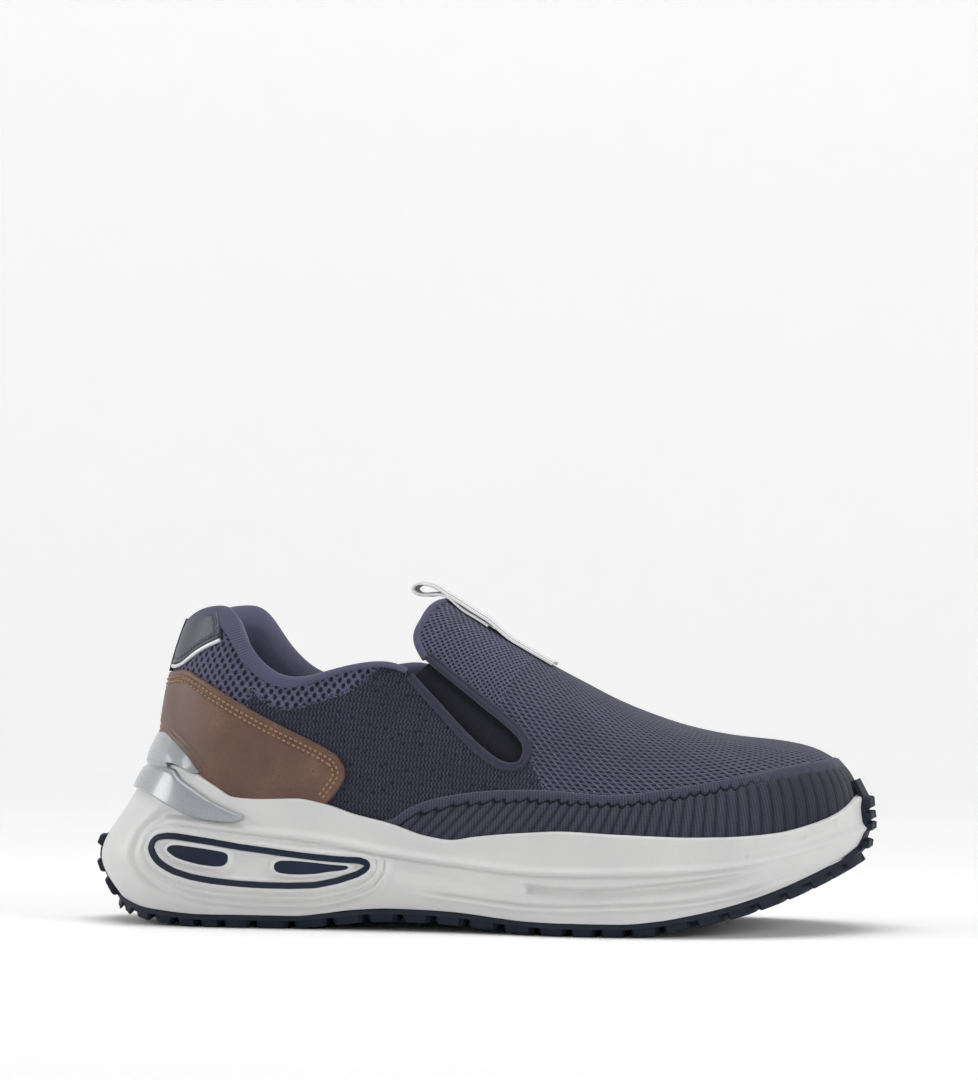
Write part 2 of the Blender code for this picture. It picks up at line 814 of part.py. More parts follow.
def window_edge(side, inset, offset):
    """Closed ring of points round the window, moved in from its edge."""
    along = trace(window_table, np.linspace(0, 1, 13))[:, 0]
    low = steady(window_table[:, 0], window_table[:, 1], along) * wall_height
    high = steady(window_table[:, 0], window_table[:, 2], along) * wall_height
    loop = np.concatenate([np.stack([along * upper_length, low], -1),
                           np.stack([along * upper_length, high], -1)[::-1]])
    tangent = np.roll(loop, -1, axis=0) - np.roll(loop, 1, axis=0)
    tangent /= np.linalg.norm(tangent, axis=1, keepdims=True)
    loop = loop + np.stack([-tangent[:, 1], tangent[:, 0]], -1) * inset
    loop = np.concatenate([loop, loop[:1]])
    return wall_at(side, loop[:, 0] / upper_length, loop[:, 1], offset)


def build_window(side, name, look):
    seat = fit_gap - window_depth
    outer = np.stack([window_edge(side, 0, window_proud), window_edge(side, ring_width, window_proud)])
    inner = np.stack([window_edge(side, 0, seat), window_edge(side, ring_width, seat)])
    shell("window_ring_" + name, [(outer, inner)], look)
    for bar, table in (("rear", rear_bar_table), ("front", front_bar_table)):
        shell("window_bar_" + bar + "_" + name,
              [(lens(side, table, 0.0, 7, 3), lens(side, table, seat, 7, 3))], look)


def build_outsole(shares, look):
    edge = {side: wall(side, shares, np.zeros(len(shares)), outsole_overhang) for side in (-1, 1)}
    profile = (edge[-1] + edge[1])[:, [0, 2]] / 2
    tangent = np.gradient(profile, axis=0)
    tangent /= np.linalg.norm(tangent, axis=1, keepdims=True)
    down = np.stack([tangent[:, 1], np.zeros(len(shares)), -tangent[:, 0]], -1)
    bottom_flat = (np.abs(edge[-1][:, 2] - tread_depth) < weld)[:, None]
    down = np.where(bottom_flat, np.array([0, 0, -1.0]), down)
    top = {side: edge[side] + down * fit_gap for side in edge}
    bottom = {side: edge[side] + down * (fit_gap + sheet_thickness) for side in edge}
    across = np.linspace(0, 1, lug_columns + 1)
    mesh = bmesh.new()
    tread = mesh.faces.layers.int.new("tread")
    add_grid(mesh, ladder(top[-1], top[1], [0, 0.5, 1]))
    for face in add_grid(mesh, ladder(bottom[-1], bottom[1], across)):
        face[tread] = under_foot
    heel_count = heel_wrap_columns
    toe_count = toe_wrap_columns
    wraps = ((slice(0, heel_count + 1), heel_wrap_levels), (slice(-toe_count - 1, None), toe_wrap_levels))
    for side in (-1, 1):
        middle_part = slice(heel_count, len(shares) - toe_count)
        add_grid(mesh, np.stack([top[side][middle_part], bottom[side][middle_part]]))
        for part, levels in wraps:
            level = np.minimum(levels, 1)[:, None]
            inside = wall(side, shares[None, part], level, wrap_gap)
            outside = wall(side, shares[None, part], level, wrap_gap + sheet_thickness)
            if levels[-1] > 1:
                toe_up = up_at(side, shares[part], toe_wrap_height)
                hug = rand_step + wrap_gap
                inside[-1] = skin(side, shares[part], toe_up, np.full(len(toe_up), hug))
                outside[-1] = skin(side, shares[part], toe_up, np.full(len(toe_up), hug + sheet_thickness))
            inside = np.concatenate([top[side][None, part], inside])
            outside = np.concatenate([bottom[side][None, part], outside])
            add_grid(mesh, inside)
            lip = len(shares[part]) - 1 if levels[-1] > 1 else 0
            wrapped = add_grid(mesh, outside)
            for face in wrapped[:len(wrapped) - lip]:
                face[tread] = round_edge
            add_grid(mesh, np.stack([inside[-1], outside[-1]]))
            corner = -1 if part.start == 0 else 0
            add_grid(mesh, np.stack([inside[:, corner], outside[:, corner]]))
    tidy(mesh)
    face_out(mesh)
    return mesh


def build_insole(shares, look):
    inset = -(upper_wall + lining_gap)
    grids = []
    rings = {}
    for side in (-1, 1):
        base = skin(side, shares, np.zeros(len(shares)), np.full(len(shares), inset))
        low = base.copy()
        low[:, 2] = footbed(shares)
        high = base.copy()
        high[:, 2] = footbed(shares) + insole_thickness
        rings[side] = (low, high)
        grids.append(np.stack([low, high]))
    for level in (0, 1):
        grids.append(ladder(rings[-1][level], rings[1][level], [0, 0.5, 1]))
    return solid("insole", grids, look)


def build_clip(shares, look):
    fine = finer(shares)
    reach = np.concatenate([fine[fine < clip_lower_tip - short_column / 2], [clip_lower_tip]])
    for tip in (clip_fork, clip_upper_tip):
        reach[int(np.argmin(abs(reach - tip)))] = tip
    low, split, top = [steady(clip_table[:, 0], clip_table[:, i], reach) * wall_height for i in (1, 2, 3)]
    rim = wall_top(reach)
    fork = int(np.searchsorted(reach, clip_fork))
    tip = int(np.searchsorted(reach, clip_upper_tip))
    split = np.minimum(split, rim - clip_lip)
    top = np.maximum(top, rim + clip_gap + clip_lip)
    keep = np.ones((4, len(reach) - 1), bool)
    keep[1, fork:] = False
    keep[2:, tip:] = False
    patches = []
    for side in (-1, 1):
        rows_outer = []
        rows_inner = []
        for height in (low, split):
            rows_inner.append(wall_at(side, reach, height, clip_gap))
            rows_outer.append(wall_at(side, reach, height, clip_gap + clip_thickness))
        rim_inner = wall(side, reach, np.ones(len(reach)), clip_gap)
        rim_inner[:, 2] = rim + clip_gap
        rim_outer = wall(side, reach, np.ones(len(reach)), clip_gap + clip_thickness)
        rim_outer[:, 2] = rim + clip_gap
        rows_inner.append(rim_inner)
        rows_outer.append(rim_outer)
        seat = skin(side, reach, up_at(side, reach, rim + clip_gap), np.full(len(reach), fit_gap))
        seat[:, 2] = rim + clip_gap
        over = wall(side, reach, np.ones(len(reach)), 2 * clip_roll * clip_thickness)
        over[:, 2] = rim + clip_gap + clip_roll * (top - rim - clip_gap)
        rows_inner.append(seat)
        rows_outer.append(over)
        top_up = up_at(side, reach, top)
        rows_inner.append(skin(side, reach, top_up, np.full(len(reach), fit_gap)))
        rows_outer.append(skin(side, reach, top_up, np.full(len(reach), fit_gap + clip_thickness)))
        patches.append((np.stack(rows_outer), np.stack(rows_inner), keep))
    return shell("heel_clip", patches, look)


def skin_patch(side, sheet, low, high):
    """Outer and inner grid of a layer lying between two distances from the last."""
    along, up = sheet[..., 0], sheet[..., 1]
    return (skin(side, along, up, np.full(up.shape, high)), skin(side, along, up, np.full(up.shape, low)))


def build_counter(shares, look):
    rows = 4
    front = trace(counter_front_table, np.linspace(0, 1, rows))
    fine = finer(shares)
    reach = fine[fine < counter_front_table[0, 0] - short_column]
    low_along = np.concatenate([reach, [counter_front_table[0, 0]]])
    high_along = np.concatenate([reach, [counter_front_table[-1, 0]]])
    clip_top = steady(clip_table[:, 0], clip_table[:, 3], low_along) * wall_height
    clip_top = np.where(low_along < clip_upper_tip + short_column, clip_top, 0)
    clear = np.maximum(wall_top(low_along), clip_top) + panel_clearance
    patches = []
    for side in (-1, 1):
        low = np.stack([low_along, up_at(side, low_along, clear)], -1)
        edge = front.copy()
        edge[:, 1] += (low[-1, 1] - front[0, 1]) * np.linspace(1, 0, rows)
        high_up = smooth(counter_top_table[:, 0], counter_top_table[:, 1], high_along)
        high = np.stack([high_along, high_up], -1)
        back = np.stack([np.zeros(rows), np.linspace(low[0, 1], high[0, 1], rows)], -1)
        sheet = coons(low, high, back, edge)
        patches.append(skin_patch(side, sheet, fit_gap, fit_gap + panel_thickness))
    return shell("counter_panel", patches, look)


def build_heel_tab(shares, look, piping_look, strap_look):
    rows = 4
    fine = finer(shares)
    edge = trace(tab_front_table, np.linspace(0, 1, rows))
    reach = fine[fine < tab_front_table[0, 0] - short_column]
    low_along = np.concatenate([reach, [tab_front_table[0, 0]]])
    high_along = low_along * tab_front_table[-1, 0] / tab_front_table[0, 0]
    low_up = smooth(tab_low_table[:, 0], tab_low_table[:, 1], low_along)
    tab = []
    piping = []
    strap = []
    seam_up = tab_low_table[0, 1]
    small = 0.01
    per_up = np.linalg.norm(last(-1, 0.0, seam_up + small) - last(-1, 0.0, seam_up)) / small
    gap = fit_gap / per_up
    for side in (-1, 1):
        low = np.stack([low_along, low_up], -1)
        high = np.stack([high_along, topline(side, high_along) - collar_lap], -1)
        front = edge.copy()
        front[-1] = high[-1]
        back = np.stack([np.zeros(rows), np.linspace(low[0, 1], high[0, 1], rows)], -1)
        tab.append(skin_patch(side, coons(low, high, back, front), fit_gap, fit_gap + tab_thickness))
        lower = np.stack([low_along, low_up - 1.5 * gap - piping_width / per_up], -1)
        upper = np.stack([low_along, low_up - 1.5 * gap], -1)
        piping.append(skin_patch(side, np.stack([lower, upper]), fit_gap, fit_gap + piping_thickness))
        half = strap_width / 2
        turned = (half / (footprint_table[0, 2] * ball_width))**heel_square / heel_square
        width_share = turned * heel_round / upper_length
        strap_along = np.array([0, 0.25, 1.0]) * width_share
        strap_up = np.linspace(counter_top_table[0, 1] + 2 * gap, topline(side, 0.0) - collar_lap / 2, 6)
        sheet = np.stack(np.broadcast_arrays(strap_along[None, :], strap_up[:, None]), -1)
        over = fit_gap + tab_thickness + fit_gap
        strap.append(skin_patch(side, sheet, over, over + strap_thickness))
    shell("heel_tab", tab, look)
    shell("reflective_piping", piping, piping_look)
    shell("heel_strap", strap, strap_look)


def build_lining(shares, look):
    reach = np.concatenate([shares[shares < lining_front - short_column], [lining_front]])
    inside = -(upper_wall + lining_gap)
    patches = []
    for side in (-1, 1):
        top = topline(side, reach) + collar_lap
        share = padding_table[:, 0][:, None]
        up = top - share * lining_drop
        along = np.broadcast_to(reach, up.shape)
        thick = np.interp(reach, [0.10, lining_front], [lining_padding, lining_edge])
        depth = padding_table[:, 1][:, None] * thick
        outer = skin(side, along, up, np.full(up.shape, inside))
        inner = skin(side, along, up, inside - depth)
        patches.append((outer, inner))
    return shell("collar_lining", patches, look)


def build_gore(side, name, look, binding_look):
    path = trace(slot_table, np.linspace(0.015, 0.985, 19))
    ring = beside(side, path, gore_margin)
    count = len(ring) // 2
    rear = ring[:count + 1]
    front = ring[::-1][:count + 1]
    share = np.linspace(0, 1, 4)[:, None, None]
    sheet = rear[None] * (1 - share) + front[None] * share
    inside = -(upper_wall + fit_gap)
    shell("gore_" + name, [skin_patch(side, sheet, inside - gore_thickness, inside)], look)
    band = np.stack([beside(side, path, distance) for distance in (0.0, binding_width / 2, binding_width)])
    tape = skin_patch(side, band, fit_gap, fit_gap + binding_thickness)
    shell("gore_binding_" + name, [tape], binding_look)


def build_pull_tab(look):
    tongue_x, _, tongue_z = last(-1, tongue_table[-1, 0], 1.0)
    start = tongue_x + loop_front
    stitch = tongue_x + loop_overlap
    half = loop_thickness / 2

    def lay(x, height):
        return np.stack([x, over_instep(x, np.zeros(len(x))) + height], -1)

    on_vamp = lay(np.linspace(start, stitch + loop_bend, 5), loop_gap + half)
    over = lay(np.linspace(stitch, tongue_x + loop_lift, 3), 2 * loop_gap + 3 * half)
    loop = np.stack([tongue_x - loop_table[:, 0] * loop_reach, tongue_z + loop_table[:, 1] * loop_reach], -1)
    under = lay(np.linspace(tongue_x + loop_lift, stitch, 3), loop_gap + half)
    route = trace(np.concatenate([on_vamp, over, loop, under]), np.linspace(0, 1, 24))
    tangent = np.gradient(route, axis=0)
    tangent /= np.linalg.norm(tangent, axis=1, keepdims=True)
    normal = np.stack([-tangent[:, 1], tangent[:, 0]], -1)
    across = np.linspace(-1, 1, 5) * loop_width / 2
    x = np.clip(route[:, 0], tongue_x + loop_edge, None)[:, None]
    centre = over_instep(x, 0 * across)
    crown = centre - over_instep(x, np.broadcast_to(across, (len(route), len(across))))
    free = np.clip((route[:, 0] - tongue_x + loop_reach) / loop_reach, 0, 1)[:, None]
    crown = crown * (0.2 + 0.8 * free)
    y = middle((route[:, 0] + heel_setback) / upper_length)[:, None] + across
    faces = []
    for offset in (half, -half):
        shifted = route + normal * offset
        x_row = np.broadcast_to(shifted[:, :1], y.shape)
        faces.append(np.stack([x_row, y, shifted[:, 1:] - crown], -1))
    upper_face, lower_face = faces
    closing = [np.stack([upper_face[:, i], lower_face[:, i]]) for i in (0, -1)]
    ends = [np.stack([upper_face[i], lower_face[i]]) for i in (0, -1)]
    return solid("pull_tab", [upper_face, lower_face] + closing + ends, look)


def add_lugs(mesh):
    """Raise a tapered lug on each tread face that is wide enough for one."""
    tread = mesh.faces.layers.int["tread"]
    for kind, height in ((under_foot, lug_height), (round_edge, wrap_lug_height)):
        faces = [face for face in mesh.faces
                 if face[tread] == kind and min(edge.calc_length() for edge in face.edges) > smallest_lug]
        for face in faces:
            face[tread] = 0
        bmesh.ops.inset_individual(
            mesh, faces=faces, thickness=lug_taper, depth=height, use_even_offset=False)


def main():
    for old in list(bpy.data.objects):
        bpy.data.objects.remove(old, do_unlink=True)
    shares = station_shares()
    knit = material("navy knit", "#3c3b52", 0.85)
    foam = material("white foam", "#e8e8e8", 0.55)
    rubber = material("navy rubber", "#2a3145", 0.6)
    build_upper(shares, knit)
    midsole = build_midsole(shares, foam)
    for side, name in ((-1, "lateral"), (1, "medial")):
        cut = midsole.modifiers.new("window " + name, "BOOLEAN")
        cut.operation = "DIFFERENCE"
        cut.solver = "EXACT"
        cut.object = window_cutter(side)
        build_window(side, name, material("window inlay " + name, "#2a3145", 0.5))
        build_gore(side, name, material("elastic " + name, "#1d1f27", 0.9),
                   material("binding " + name, "#34344a", 0.85))
    outsole = build_outsole(shares, rubber)
    add_lugs(outsole)
    place("outsole", outsole, rubber)
    build_insole(shares, material("insole cloth", "#4a4966", 0.9))
    build_clip(shares, material("grey plastic", "#a9adb0", 0.35))
    build_counter(shares, material("tan leather", "#8c6a52", 0.6))
    build_heel_tab(shares, material("navy leather", "#353a4e", 0.5),
                   material("silver piping", "#c4c8cc", 0.3), material("navy webbing", "#262938", 0.9))
    build_lining(shares, material("lining cloth", "#4b4a68", 0.95))
    build_pull_tab(material("white webbing", "#e6e6e6", 0.7))


main()
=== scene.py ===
import bmesh
import bpy
import numpy as np
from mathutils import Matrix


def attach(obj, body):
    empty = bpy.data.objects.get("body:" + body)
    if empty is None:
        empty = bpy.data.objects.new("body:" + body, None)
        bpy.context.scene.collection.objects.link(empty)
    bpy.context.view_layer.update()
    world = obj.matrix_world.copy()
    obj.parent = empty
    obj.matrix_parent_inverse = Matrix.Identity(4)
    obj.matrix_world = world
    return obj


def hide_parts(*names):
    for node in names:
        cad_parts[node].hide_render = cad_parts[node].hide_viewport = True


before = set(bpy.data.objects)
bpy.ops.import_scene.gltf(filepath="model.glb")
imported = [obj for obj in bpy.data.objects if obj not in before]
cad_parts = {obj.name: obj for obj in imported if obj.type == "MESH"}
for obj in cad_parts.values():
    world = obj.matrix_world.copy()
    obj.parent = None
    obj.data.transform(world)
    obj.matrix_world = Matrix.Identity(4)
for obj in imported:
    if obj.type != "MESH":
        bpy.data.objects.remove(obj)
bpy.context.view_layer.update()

mm = 0.001

# A right slip-on shoe. Everything hangs on one form, the last. A place on it is a side
# (-1 outer, +1 inner), a share of the length from the heel and a share of the way up.
form = dict(length=268.4 * mm, ballWidth=100 * mm, instepHeight=121 * mm, heelStack=34 * mm,
            wallHeight=48 * mm, heelSetback=31 * mm, heelRound=36 * mm, toeRound=74 * mm,
            heelSquare=2.0, toeSquare=2.45, ridgeBack=62 * mm, ridgeFront=46 * mm,
            turnWeight=35 * mm)

# share of the length; centre, outer half width, inner half width as shares of the ball width
footprintTable = np.array([
    (0.000, 0.000, 0.310, 0.310), (0.150, 0.000, 0.340, 0.330), (0.300, -0.010, 0.345, 0.325),
    (0.420, -0.020, 0.365, 0.330), (0.550, -0.020, 0.430, 0.385), (0.660, 0.000, 0.495, 0.460),
    (0.750, 0.025, 0.500, 0.470), (0.880, 0.060, 0.470, 0.420), (1.000, 0.080, 0.430, 0.360)])
# share of the length; footbed as a share of the heel stack; middle line as a share of the
# instep height; squareness of the section
sectionTable = np.array([
    (0.000, 1.000, 1.240, 2.400), (0.150, 0.970, 1.240, 2.400), (0.300, 0.882, 1.165, 2.200),
    (0.430, 0.794, 1.004, 2.000), (0.520, 0.735, 0.880, 1.950), (0.600, 0.676, 0.777, 1.950),
    (0.700, 0.632, 0.669, 2.050), (0.800, 0.647, 0.603, 2.300), (0.900, 0.765, 0.583, 2.700),
    (1.000, 1.000, 0.587, 3.000)])
# collar edge: share of the length; share of the way up outside and inside
toplineTable = np.array([
    (0.000, 0.440, 0.440), (0.028, 0.472, 0.472), (0.052, 0.482, 0.482), (0.076, 0.478, 0.478),
    (0.100, 0.446, 0.448), (0.131, 0.382, 0.388), (0.164, 0.332, 0.338), (0.208, 0.312, 0.312),
    (0.261, 0.358, 0.345), (0.313, 0.424, 0.410), (0.345, 0.455, 0.447), (0.373, 0.462, 0.462)])
# edge of the elastic slot, from the collar round its lower end and up to the tongue
slotTable = np.array([
    (0.373, 0.462), (0.399, 0.437), (0.422, 0.415), (0.446, 0.389), (0.469, 0.364), (0.489, 0.344),
    (0.510, 0.328), (0.530, 0.321), (0.546, 0.332), (0.556, 0.362), (0.557, 0.402), (0.546, 0.434),
    (0.521, 0.461), (0.490, 0.482), (0.454, 0.504), (0.414, 0.525), (0.386, 0.540)])
slotEnd = 8
tongueTable = np.array([
    (0.386, 0.540), (0.370, 0.572), (0.362, 0.609), (0.359, 0.677), (0.354, 0.766), (0.349, 0.848),
    (0.332, 1.000)])
# upper edge of the ribbed rand
randTable = np.array([
    (0.000, 0.050), (0.300, 0.050), (0.368, 0.071), (0.396, 0.110), (0.424, 0.143), (0.466, 0.182),
    (0.524, 0.229), (0.611, 0.287), (0.697, 0.323), (0.754, 0.364), (0.811, 0.405), (0.895, 0.457),
    (0.952, 0.498), (1.000, 0.512)])
# side wall of the sole: share of the length; top edge and rise of the bottom edge, as shares
# of the wall height
wallTable = np.array([
    (0.000, 1.260, 0.125), (0.020, 1.264, 0.075), (0.040, 1.266, 0.035), (0.060, 1.255, 0.018),
    (0.085, 1.205, 0.004), (0.102, 1.150, 0.000), (0.119, 1.095, 0.000), (0.145, 1.015, 0.000),
    (0.182, 1.002, 0.000), (0.235, 1.010, 0.000), (0.279, 0.967, 0.025), (0.317, 0.900, 0.054),
    (0.374, 0.825, 0.072), (0.423, 0.740, 0.068), (0.461, 0.711, 0.060), (0.494, 0.738, 0.046),
    (0.532, 0.762, 0.024), (0.573, 0.780, 0.006), (0.619, 0.794, 0.000), (0.700, 0.775, 0.000),
    (0.744, 0.765, 0.020), (0.792, 0.756, 0.067), (0.839, 0.758, 0.130), (0.874, 0.768, 0.192),
    (0.907, 0.788, 0.262), (0.941, 0.836, 0.348), (0.972, 0.905, 0.438), (0.988, 0.970, 0.500),
    (1.000, 1.050, 0.560)])
# how far the wall stands out: share of the length; bottom, belly, shoulder, top as shares
# of the flare
flareTable = np.array([
    (0.000, 0.670, 1.000, 0.620, 0.115), (0.030, 0.560, 0.910, 0.580, 0.115),
    (0.060, 0.400, 0.730, 0.490, 0.120), (0.100, 0.270, 0.530, 0.380, 0.125),
    (0.160, 0.200, 0.400, 0.290, 0.133), (0.250, 0.180, 0.380, 0.270, 0.133),
    (0.350, 0.160, 0.360, 0.270, 0.133), (0.450, 0.130, 0.290, 0.240, 0.133),
    (0.600, 0.160, 0.270, 0.220, 0.142), (0.750, 0.160, 0.270, 0.220, 0.142),
    (0.900, 0.110, 0.220, 0.190, 0.133), (1.000, 0.040, 0.150, 0.140, 0.115)])
flareLevels = np.array([0.0, 0.28, 0.62, 1.0])
soleForm = dict(flare=21.5 * mm, ribDepth=1.3 * mm, treadDepth=5.0 * mm)


def together(*values):  # values as arrays of one shape
    return np.broadcast_arrays(*[np.asarray(value, float) for value in values])


def unit(vectors):
    return vectors / np.linalg.norm(vectors, axis=-1, keepdims=True)


def walkAlongPoints(points):  # length walked at each point of a row, from 0
    return np.concatenate([[0], np.cumsum(np.linalg.norm(np.diff(points, axis=0), axis=-1))])


def ruled(first, second, count):  # straight sheet of count rows between two curves
    share = np.linspace(0, 1, count)[:, None, None]
    return first[None] * (1 - share) + second[None] * share


def smooth(xs, ys, at):  # natural cubic curve through a table's points
    xs = np.asarray(xs, float)
    ys = np.asarray(ys, float)
    at = np.clip(np.asarray(at, float), xs[0], xs[-1])
    step = np.diff(xs)
    system = np.eye(len(xs))
    target = np.zeros(len(xs))
    for i in range(1, len(xs) - 1):
        system[i, i - 1:i + 2] = step[i - 1], 2 * (step[i - 1] + step[i]), step[i]
        target[i] = 6 * ((ys[i + 1] - ys[i]) / step[i] - (ys[i] - ys[i - 1]) / step[i - 1])
    bend = np.linalg.solve(system, target)
    i = np.clip(np.searchsorted(xs, at, side="right") - 1, 0, len(xs) - 2)
    left = at - xs[i]
    right = xs[i + 1] - at
    cubes = (bend[i] * right**3 + bend[i + 1] * left**3) / (6 * step[i])
    lines = (ys[i] / step[i] - bend[i] * step[i] / 6) * right
    return cubes + lines + (ys[i + 1] / step[i] - bend[i + 1] * step[i] / 6) * left


def steady(xs, ys, at):  # cubic curve through a table's points that never swings past them
    xs = np.asarray(xs, float)
    ys = np.asarray(ys, float)
    at = np.clip(np.asarray(at, float), xs[0], xs[-1])
    step = np.diff(xs)
    slope = np.diff(ys) / step
    sameWay = slope[:-1] * slope[1:] > 0
    before = 2 * step[1:] + step[:-1]
    after = step[1:] + 2 * step[:-1]
    safeBack = np.where(sameWay, slope[:-1], 1)
    safeFront = np.where(sameWay, slope[1:], 1)
    inner = np.where(sameWay, (before + after) / (before / safeBack + after / safeFront), 0)
    tangent = np.concatenate([slope[:1], inner, slope[-1:]])
    i = np.clip(np.searchsorted(xs, at, side="right") - 1, 0, len(xs) - 2)
    t = (at - xs[i]) / step[i]
    hold = ys[i] * (1 + 2 * t) * (1 - t)**2 + ys[i + 1] * t * t * (3 - 2 * t)
    return hold + step[i] * (tangent[i] * t * (1 - t)**2 + tangent[i + 1] * t * t * (t - 1))


def curveOf(table, column, at):
    return smooth(table[:, 0], table[:, column], at)


def steadyOf(table, column, at):
    return steady(table[:, 0], table[:, column], at)


def trace(table, shares):  # points at shares of the way along a smooth curve through the rows
    walked = walkAlongPoints(table)
    at = np.asarray(shares, float) * walked[-1]
    return np.stack([smooth(walked, table[:, i], at) for i in range(table.shape[1])], -1)


def ease(low, high, value):  # 0 below low, 1 above high, an S-curve between
    t = np.clip((np.asarray(value, float) - low) / (high - low), 0, 1)
    return t * t * (3 - 2 * t)


def bump(centre, width, value):  # bell of height 1 round centre
    return np.exp(-((np.asarray(value, float) - centre) / width)**2)


def rounding(distance, radius, square):  # quarter of a superellipse, 0 at the tip to 1
    reach = np.clip(distance / radius, 0, 1)
    return (1 - (1 - reach)**square)**(1 / square)


def middle(along):
    return curveOf(footprintTable, 1, along) * form["ballWidth"]


def footprint(side, along):  # edge of the foot's outline at the footbed
    along = np.asarray(along, float)
    x = along * form["length"]
    half = curveOf(footprintTable, 2 if side < 0 else 3, along) * form["ballWidth"]
    half = half * rounding(x, form["heelRound"], form["heelSquare"])
    half = half * rounding(form["length"] - x, form["toeRound"], form["toeSquare"])
    return x - form["heelSetback"], middle(along) + side * half


def turned(along):  # angle that spreads the shares evenly round the heel and the toe
    return np.arccos(np.clip(1 - 2 * np.asarray(along, float), -1, 1))


def unturned(turn):
    return (1 - np.cos(np.clip(turn, 0, np.pi))) / 2


def outward(side, along):  # level direction out of the footprint
    turn = turned(along)
    small = 0.01
    x0, y0 = footprint(side, unturned(turn - small))
    x1, y1 = footprint(side, unturned(turn + small))
    across = -side * (y1 - y0)
    ahead = side * (x1 - x0)
    atHeel = turn < small / 2
    atToe = turn > np.pi - small / 2
    across = np.where(atHeel, -1.0, np.where(atToe, 1.0, across))
    ahead = np.where(atHeel | atToe, 0.0, ahead)
    length = np.hypot(across, ahead)
    return across / length, ahead / length


def footbed(along):
    return curveOf(sectionTable, 1, along) * form["heelStack"]


def ridgeHeight(x):
    return curveOf(sectionTable, 2, (x + form["heelSetback"]) / form["length"]) \
        * form["instepHeight"]


def last(side, along, up):
    # from the sole edge to the middle line: a superellipse arc, in by 1 - cos^p, up by sin^p
    along, up = together(along, up)
    edgeX, edgeY = footprint(side, along)
    ridgeX = form["ridgeBack"] - form["heelSetback"] \
        + (form["length"] - form["ridgeBack"] - form["ridgeFront"]) * along
    ridgeY = middle((ridgeX + form["heelSetback"]) / form["length"])
    power = 2 / curveOf(sectionTable, 3, along)
    angle = np.clip(up, 0, 1) * np.pi / 2
    inward = 1 - np.clip(np.cos(angle), 0, 1)**power
    rise = np.sin(angle)**power
    x = edgeX + (ridgeX - edgeX) * inward
    y = edgeY + (ridgeY - edgeY) * inward
    low = footbed(along)
    return np.stack([x, y, low + (ridgeHeight(x) - low) * rise], -1)


def lastNormal(side, along, up):
    along, up = together(along, up)
    turn = turned(along)
    small = 0.01
    under = np.minimum(up, 0.995)
    ahead = last(side, unturned(turn + small), under) - last(side, unturned(turn - small), under)
    climb = last(side, along, np.minimum(up + 0.004, 1)) - last(side, along, np.maximum(up - 0.004, 0))
    normal = -side * np.cross(ahead, climb)
    return unit(normal)


def skin(side, along, up, offset=0.0):  # a distance outside the last, or inside where negative
    along, up = together(along, up)
    normal = lastNormal(side, along, up)
    seam = (along < 1e-6) | (along > 1 - 1e-6) | (up > 1 - 1e-6)
    both = normal + lastNormal(-side, along, up)
    both = unit(both)
    normal = np.where(seam[..., None], both, normal)
    offset = np.broadcast_to(np.asarray(offset, float), along.shape)
    return last(side, along, up) + normal * offset[..., None]


def upAt(side, along, height):  # share of the way up at which the last reaches a height
    shares = np.linspace(0, 0.8, 401)
    along, height = together(along, height)
    found = [np.interp(h, last(side, a, shares)[:, 2], shares)
             for a, h in zip(along.ravel(), height.ravel())]
    return np.array(found).reshape(along.shape)


def beside(side, curve, distance):
    # curve on the last moved sideways over the surface: the step of length distance along
    # normal x tangent, solved for its two shares from the surface's own two directions
    small = 1e-3
    turn = turned(curve[:, 0])
    place = last(side, curve[:, 0], curve[:, 1])
    tangent = np.gradient(place, axis=0)
    tangent = unit(tangent)
    sideways = np.cross(lastNormal(side, curve[:, 0], curve[:, 1]), tangent) * side
    byTurn = (last(side, unturned(turn + small), curve[:, 1])
              - last(side, unturned(turn - small), curve[:, 1])) / (2 * small)
    byUp = (last(side, curve[:, 0], curve[:, 1] + small)
            - last(side, curve[:, 0], curve[:, 1] - small)) / (2 * small)
    tt = (byTurn * byTurn).sum(1)
    tu = (byTurn * byUp).sum(1)
    uu = (byUp * byUp).sum(1)
    st = (byTurn * sideways).sum(1) * distance
    su = (byUp * sideways).sum(1) * distance
    area = tt * uu - tu * tu
    along = unturned(turn + (st * uu - su * tu) / area)
    return np.stack([along, curve[:, 1] + (su * tt - st * tu) / area], -1)


def coons(low, high, left, right):
    # patch between four curves: both ruled sheets less the corners' sheet
    rows = np.linspace(0, 1, len(left))[:, None, None]
    columns = np.linspace(0, 1, len(low))[None, :, None]
    crossed = (1 - rows) * low[None] + rows * high[None] \
        + (1 - columns) * left[:, None] + columns * right[:, None]
    return crossed - ((1 - rows) * ((1 - columns) * low[0] + columns * low[-1])
                      + rows * ((1 - columns) * high[0] + columns * high[-1]))


def topline(side, along):
    return curveOf(toplineTable, 1 if side < 0 else 2, along)


def randEdge(along):
    return steadyOf(randTable, 1, along)


def wallTop(along):
    return steadyOf(wallTable, 1, along) * form["wallHeight"]


def wallBottom(along):
    return soleForm["treadDepth"] + steadyOf(wallTable, 2, along) * form["wallHeight"]


def flareAt(along, level):  # cubic up the wall through four flares that vary along the shoe
    along, level = together(along, level)
    total = np.zeros(along.shape)
    for i in range(len(flareLevels)):
        share = smooth(flareLevels, np.eye(len(flareLevels))[i], level)
        total += share * curveOf(flareTable, i + 1, along)
    return total * soleForm["flare"]


def wallPoint(side, along, level, out):  # point of the sole's side, out from the footprint
    along, level, out = np.broadcast_arrays(along, level, out)
    x, y = footprint(side, along)
    outX, outY = outward(side, along)
    bottom = wallBottom(along)
    z = bottom + (wallTop(along) - bottom) * level
    return np.stack([x + outX * out, y + outY * out, z], -1)


